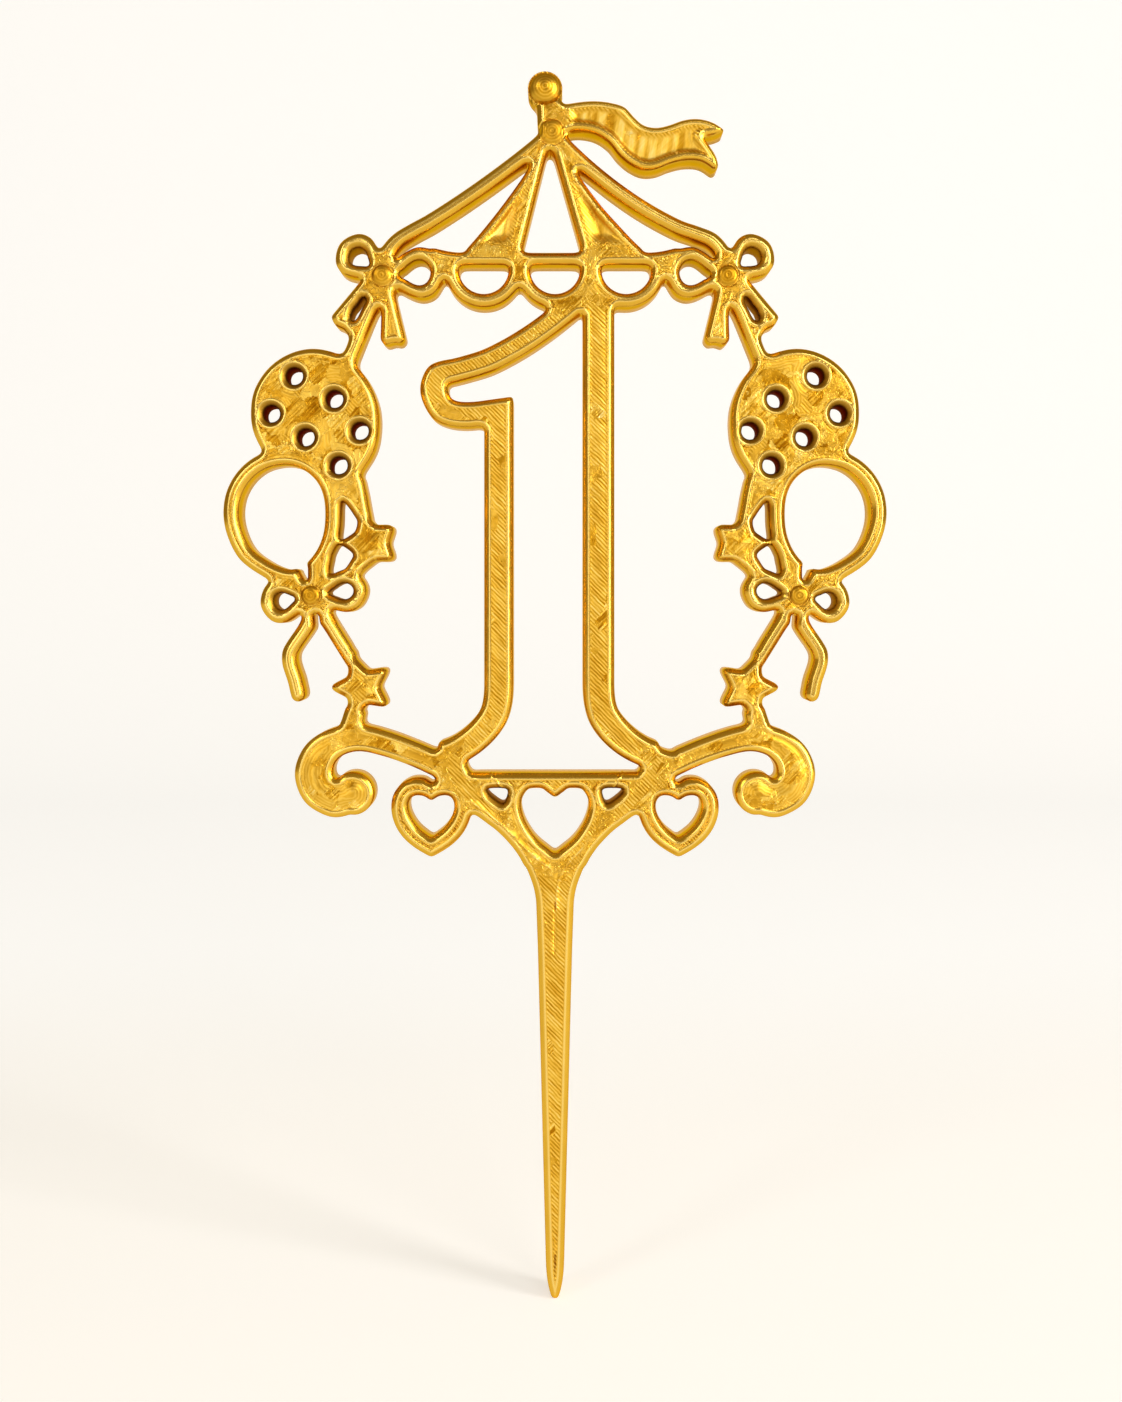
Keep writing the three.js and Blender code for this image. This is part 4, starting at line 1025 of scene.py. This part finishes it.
    # Gloss: the beads and walls are smoother than the raster, and the walls of small openings duller
    rough = plus(times(times(plus(lines, 1.0), inside), 0.08), 0.24)
    rough = plus(rough, times(pale_in, 0.06))
    wires.new(plus(rough, times(shaded_hollow_in, plus(0.3, times(facing, -0.3)))), shader.inputs["Roughness"])

    # Heights of the lines, swirls, patches, dots along the groove, and layers of the walls
    height = times(times(times(lines, inside), strength), LINE_HEIGHT)
    height = plus(height, times(ridge, RIDGE_HEIGHT))
    height = plus(height, times(sway, SWAY_HEIGHT))
    height = plus(height, times(times(times(cell.outputs["Red"], in_patch), inside), PATCH_HEIGHT))
    dots = between(waves(along_in, DOT_PITCH), 0.35, 0.8)
    height = plus(height, times(times(dots, groove), DOT_HEIGHT))
    layer_map = node("ShaderNodeMapping")
    layer_map.inputs["Scale"].default_value = LAYER_STRETCH
    wires.new(place, layer_map.inputs["Vector"])
    layers = noise(layer_map.outputs[0], 1).outputs["Fac"]
    height = plus(height, times(times(layers, between(depth_in, 0.0, 0.1, 1.0, 0.0)), LAYER_HEIGHT))
    bump = node("ShaderNodeBump")
    bump.inputs["Strength"].default_value = 1.0
    bump.inputs["Distance"].default_value = 1 / MM
    wires.new(height, bump.inputs["Height"])
    wires.new(bump.outputs[0], shader.inputs["Normal"])
    return material


gold = gold_material()
for k, name in enumerate(names):
    chosen = faces[piece_of == k]
    contoured = share_of(name, CONTOURED, PLAIN_CONTOURED)
    piece = build(name, chosen, contoured, share_of(name, PATCHY, PLAIN_PATCHY))
    piece.data.materials.append(gold)
    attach(piece, "root")
    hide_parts(name)

# Stage, light and camera. The floor is at the pick's point. From here on lengths are in metres
FLOOR = -33.0 / MM
PAPER_FRONT = -0.45
PAPER_BEND = 0.3
PAPER_RADIUS = 0.25
PAPER_TOP = 0.9
PAPER_HALF = 0.9
FADE_START, FADE_END = 0.02, 0.13
NEAR_LIGHT, FAR_LIGHT = 0.585, 0.79
NEAR_WHITE, FAR_WHITE = 0.64, 0.35


def backdrop():
    """White paper that runs back from the topper and bends upwards."""
    profile = [(PAPER_FRONT, FLOOR), (PAPER_BEND, FLOOR)]
    for turn in range(5, 91, 5):
        t = math.radians(turn)
        profile.append((PAPER_BEND + PAPER_RADIUS * math.sin(t), FLOOR + PAPER_RADIUS * (1 - math.cos(t))))
    profile.append((PAPER_BEND + PAPER_RADIUS, PAPER_TOP))
    places = [(side * PAPER_HALF, y, z) for y, z in profile for side in (-1, 1)]
    polygons = [(2 * k, 2 * k + 1, 2 * k + 3, 2 * k + 2) for k in range(len(profile) - 1)]
    mesh = bpy.data.meshes.new("backdrop")
    mesh.from_pydata(places, [], polygons)
    mesh.shade_smooth()
    sweep = bpy.data.objects.new("backdrop", mesh)
    bpy.context.scene.collection.objects.link(sweep)
    material = bpy.data.materials.new("paper")
    material.use_nodes = True
    nodes, wires = material.node_tree.nodes, material.node_tree.links
    nodes.clear()
    output = nodes.new("ShaderNodeOutputMaterial")
    place = nodes.new("ShaderNodeTexCoord")
    axes = nodes.new("ShaderNodeSeparateXYZ")
    wires.new(place.outputs["Object"], axes.inputs[0])

    def by_distance(near, far):
        """A value near the topper that changes to another one behind it."""
        made = nodes.new("ShaderNodeMapRange")
        made.interpolation_type = "SMOOTHSTEP"
        wires.new(axes.outputs["Y"], made.inputs["Value"])
        numbers = {"From Min": FADE_START, "From Max": FADE_END, "To Min": near, "To Max": far}
        for socket, number in numbers.items():
            made.inputs[socket].default_value = number
        return made.outputs[0]

    lit = nodes.new("ShaderNodeBsdfDiffuse")
    albedo = nodes.new("ShaderNodeCombineColor")
    for socket, tint in zip(albedo.inputs, (1.0, 0.97, 0.94)):
        wires.new(by_distance(NEAR_WHITE * tint, FAR_WHITE * tint), socket)
    wires.new(albedo.outputs[0], lit.inputs["Color"])
    shown = nodes.new("ShaderNodeEmission")
    shown.inputs["Color"].default_value = (0.99, 0.983, 0.958, 1)
    wires.new(by_distance(NEAR_LIGHT, FAR_LIGHT), shown.inputs["Strength"])

    # The paper's light shows to the camera, in reflections and through clear things, not on matt surfaces
    paths = nodes.new("ShaderNodeLightPath")
    seen = paths.outputs["Is Camera Ray"]
    for ray in ("Is Glossy Ray", "Is Transmission Ray"):
        most = nodes.new("ShaderNodeMath")
        most.operation = "MAXIMUM"
        wires.new(seen, most.inputs[0])
        wires.new(paths.outputs[ray], most.inputs[1])
        seen = most.outputs[0]
    black = nodes.new("ShaderNodeEmission")
    black.inputs["Strength"].default_value = 0
    pick = nodes.new("ShaderNodeMixShader")
    wires.new(seen, pick.inputs[0])
    wires.new(black.outputs[0], pick.inputs[1])
    wires.new(shown.outputs[0], pick.inputs[2])
    both = nodes.new("ShaderNodeAddShader")
    wires.new(lit.outputs[0], both.inputs[0])
    wires.new(pick.outputs[0], both.inputs[1])
    wires.new(both.outputs[0], output.inputs["Surface"])
    mesh.materials.append(material)
    return sweep


backdrop()


def softbox(name, place, target, size, power):
    """A lamp with a rectangular face, turned to its target."""
    light = bpy.data.lights.new(name, "AREA")
    light.shape = "RECTANGLE"
    light.size, light.size_y = size
    light.energy = power
    lamp = bpy.data.objects.new(name, light)
    lamp.location = place
    lamp.rotation_euler = (Vector(target) - Vector(place)).to_track_quat("-Z", "Y").to_euler()
    bpy.context.scene.collection.objects.link(lamp)


# Each lamp's name, place, width and height, and power
MIDDLE = (0, 0, 0.02)
LAMPS = [
    ("key_right", (0.5, -0.29, 0.12), (0.17, 0.5), 3.3),
    ("key_left", (-0.42, -0.45, 0.3), (0.15, 0.3), 0.65),
    ("front_right", (0.38, -0.8, 0.38), (0.4, 0.4), 1.85),
    ("front_left", (-0.3, -0.9, 0.05), (0.3, 0.5), 0.9),
]
for name, place, size, power in LAMPS:
    softbox(name, place, MIDDLE, size, power)

world = bpy.data.worlds.new("studio")
bpy.context.scene.world = world
world.use_nodes = True
background = world.node_tree.nodes["Background"]
background.inputs["Color"].default_value = (1.0, 0.78, 0.39, 1)
background.inputs["Strength"].default_value = 0.33

camera_data = bpy.data.cameras.new("camera")
camera_data.lens = 37.59
camera_data.sensor_width = 36
camera_data.shift_x = 0.0036
camera_data.shift_y = -0.072
camera = bpy.data.objects.new("camera", camera_data)
camera.location = (0.00008, -0.1235, 0.0254)
camera.rotation_euler = (math.radians(90), 0, 0)
bpy.context.scene.collection.objects.link(camera)
bpy.context.scene.camera = camera
bpy.context.scene.view_settings.view_transform = "Standard"
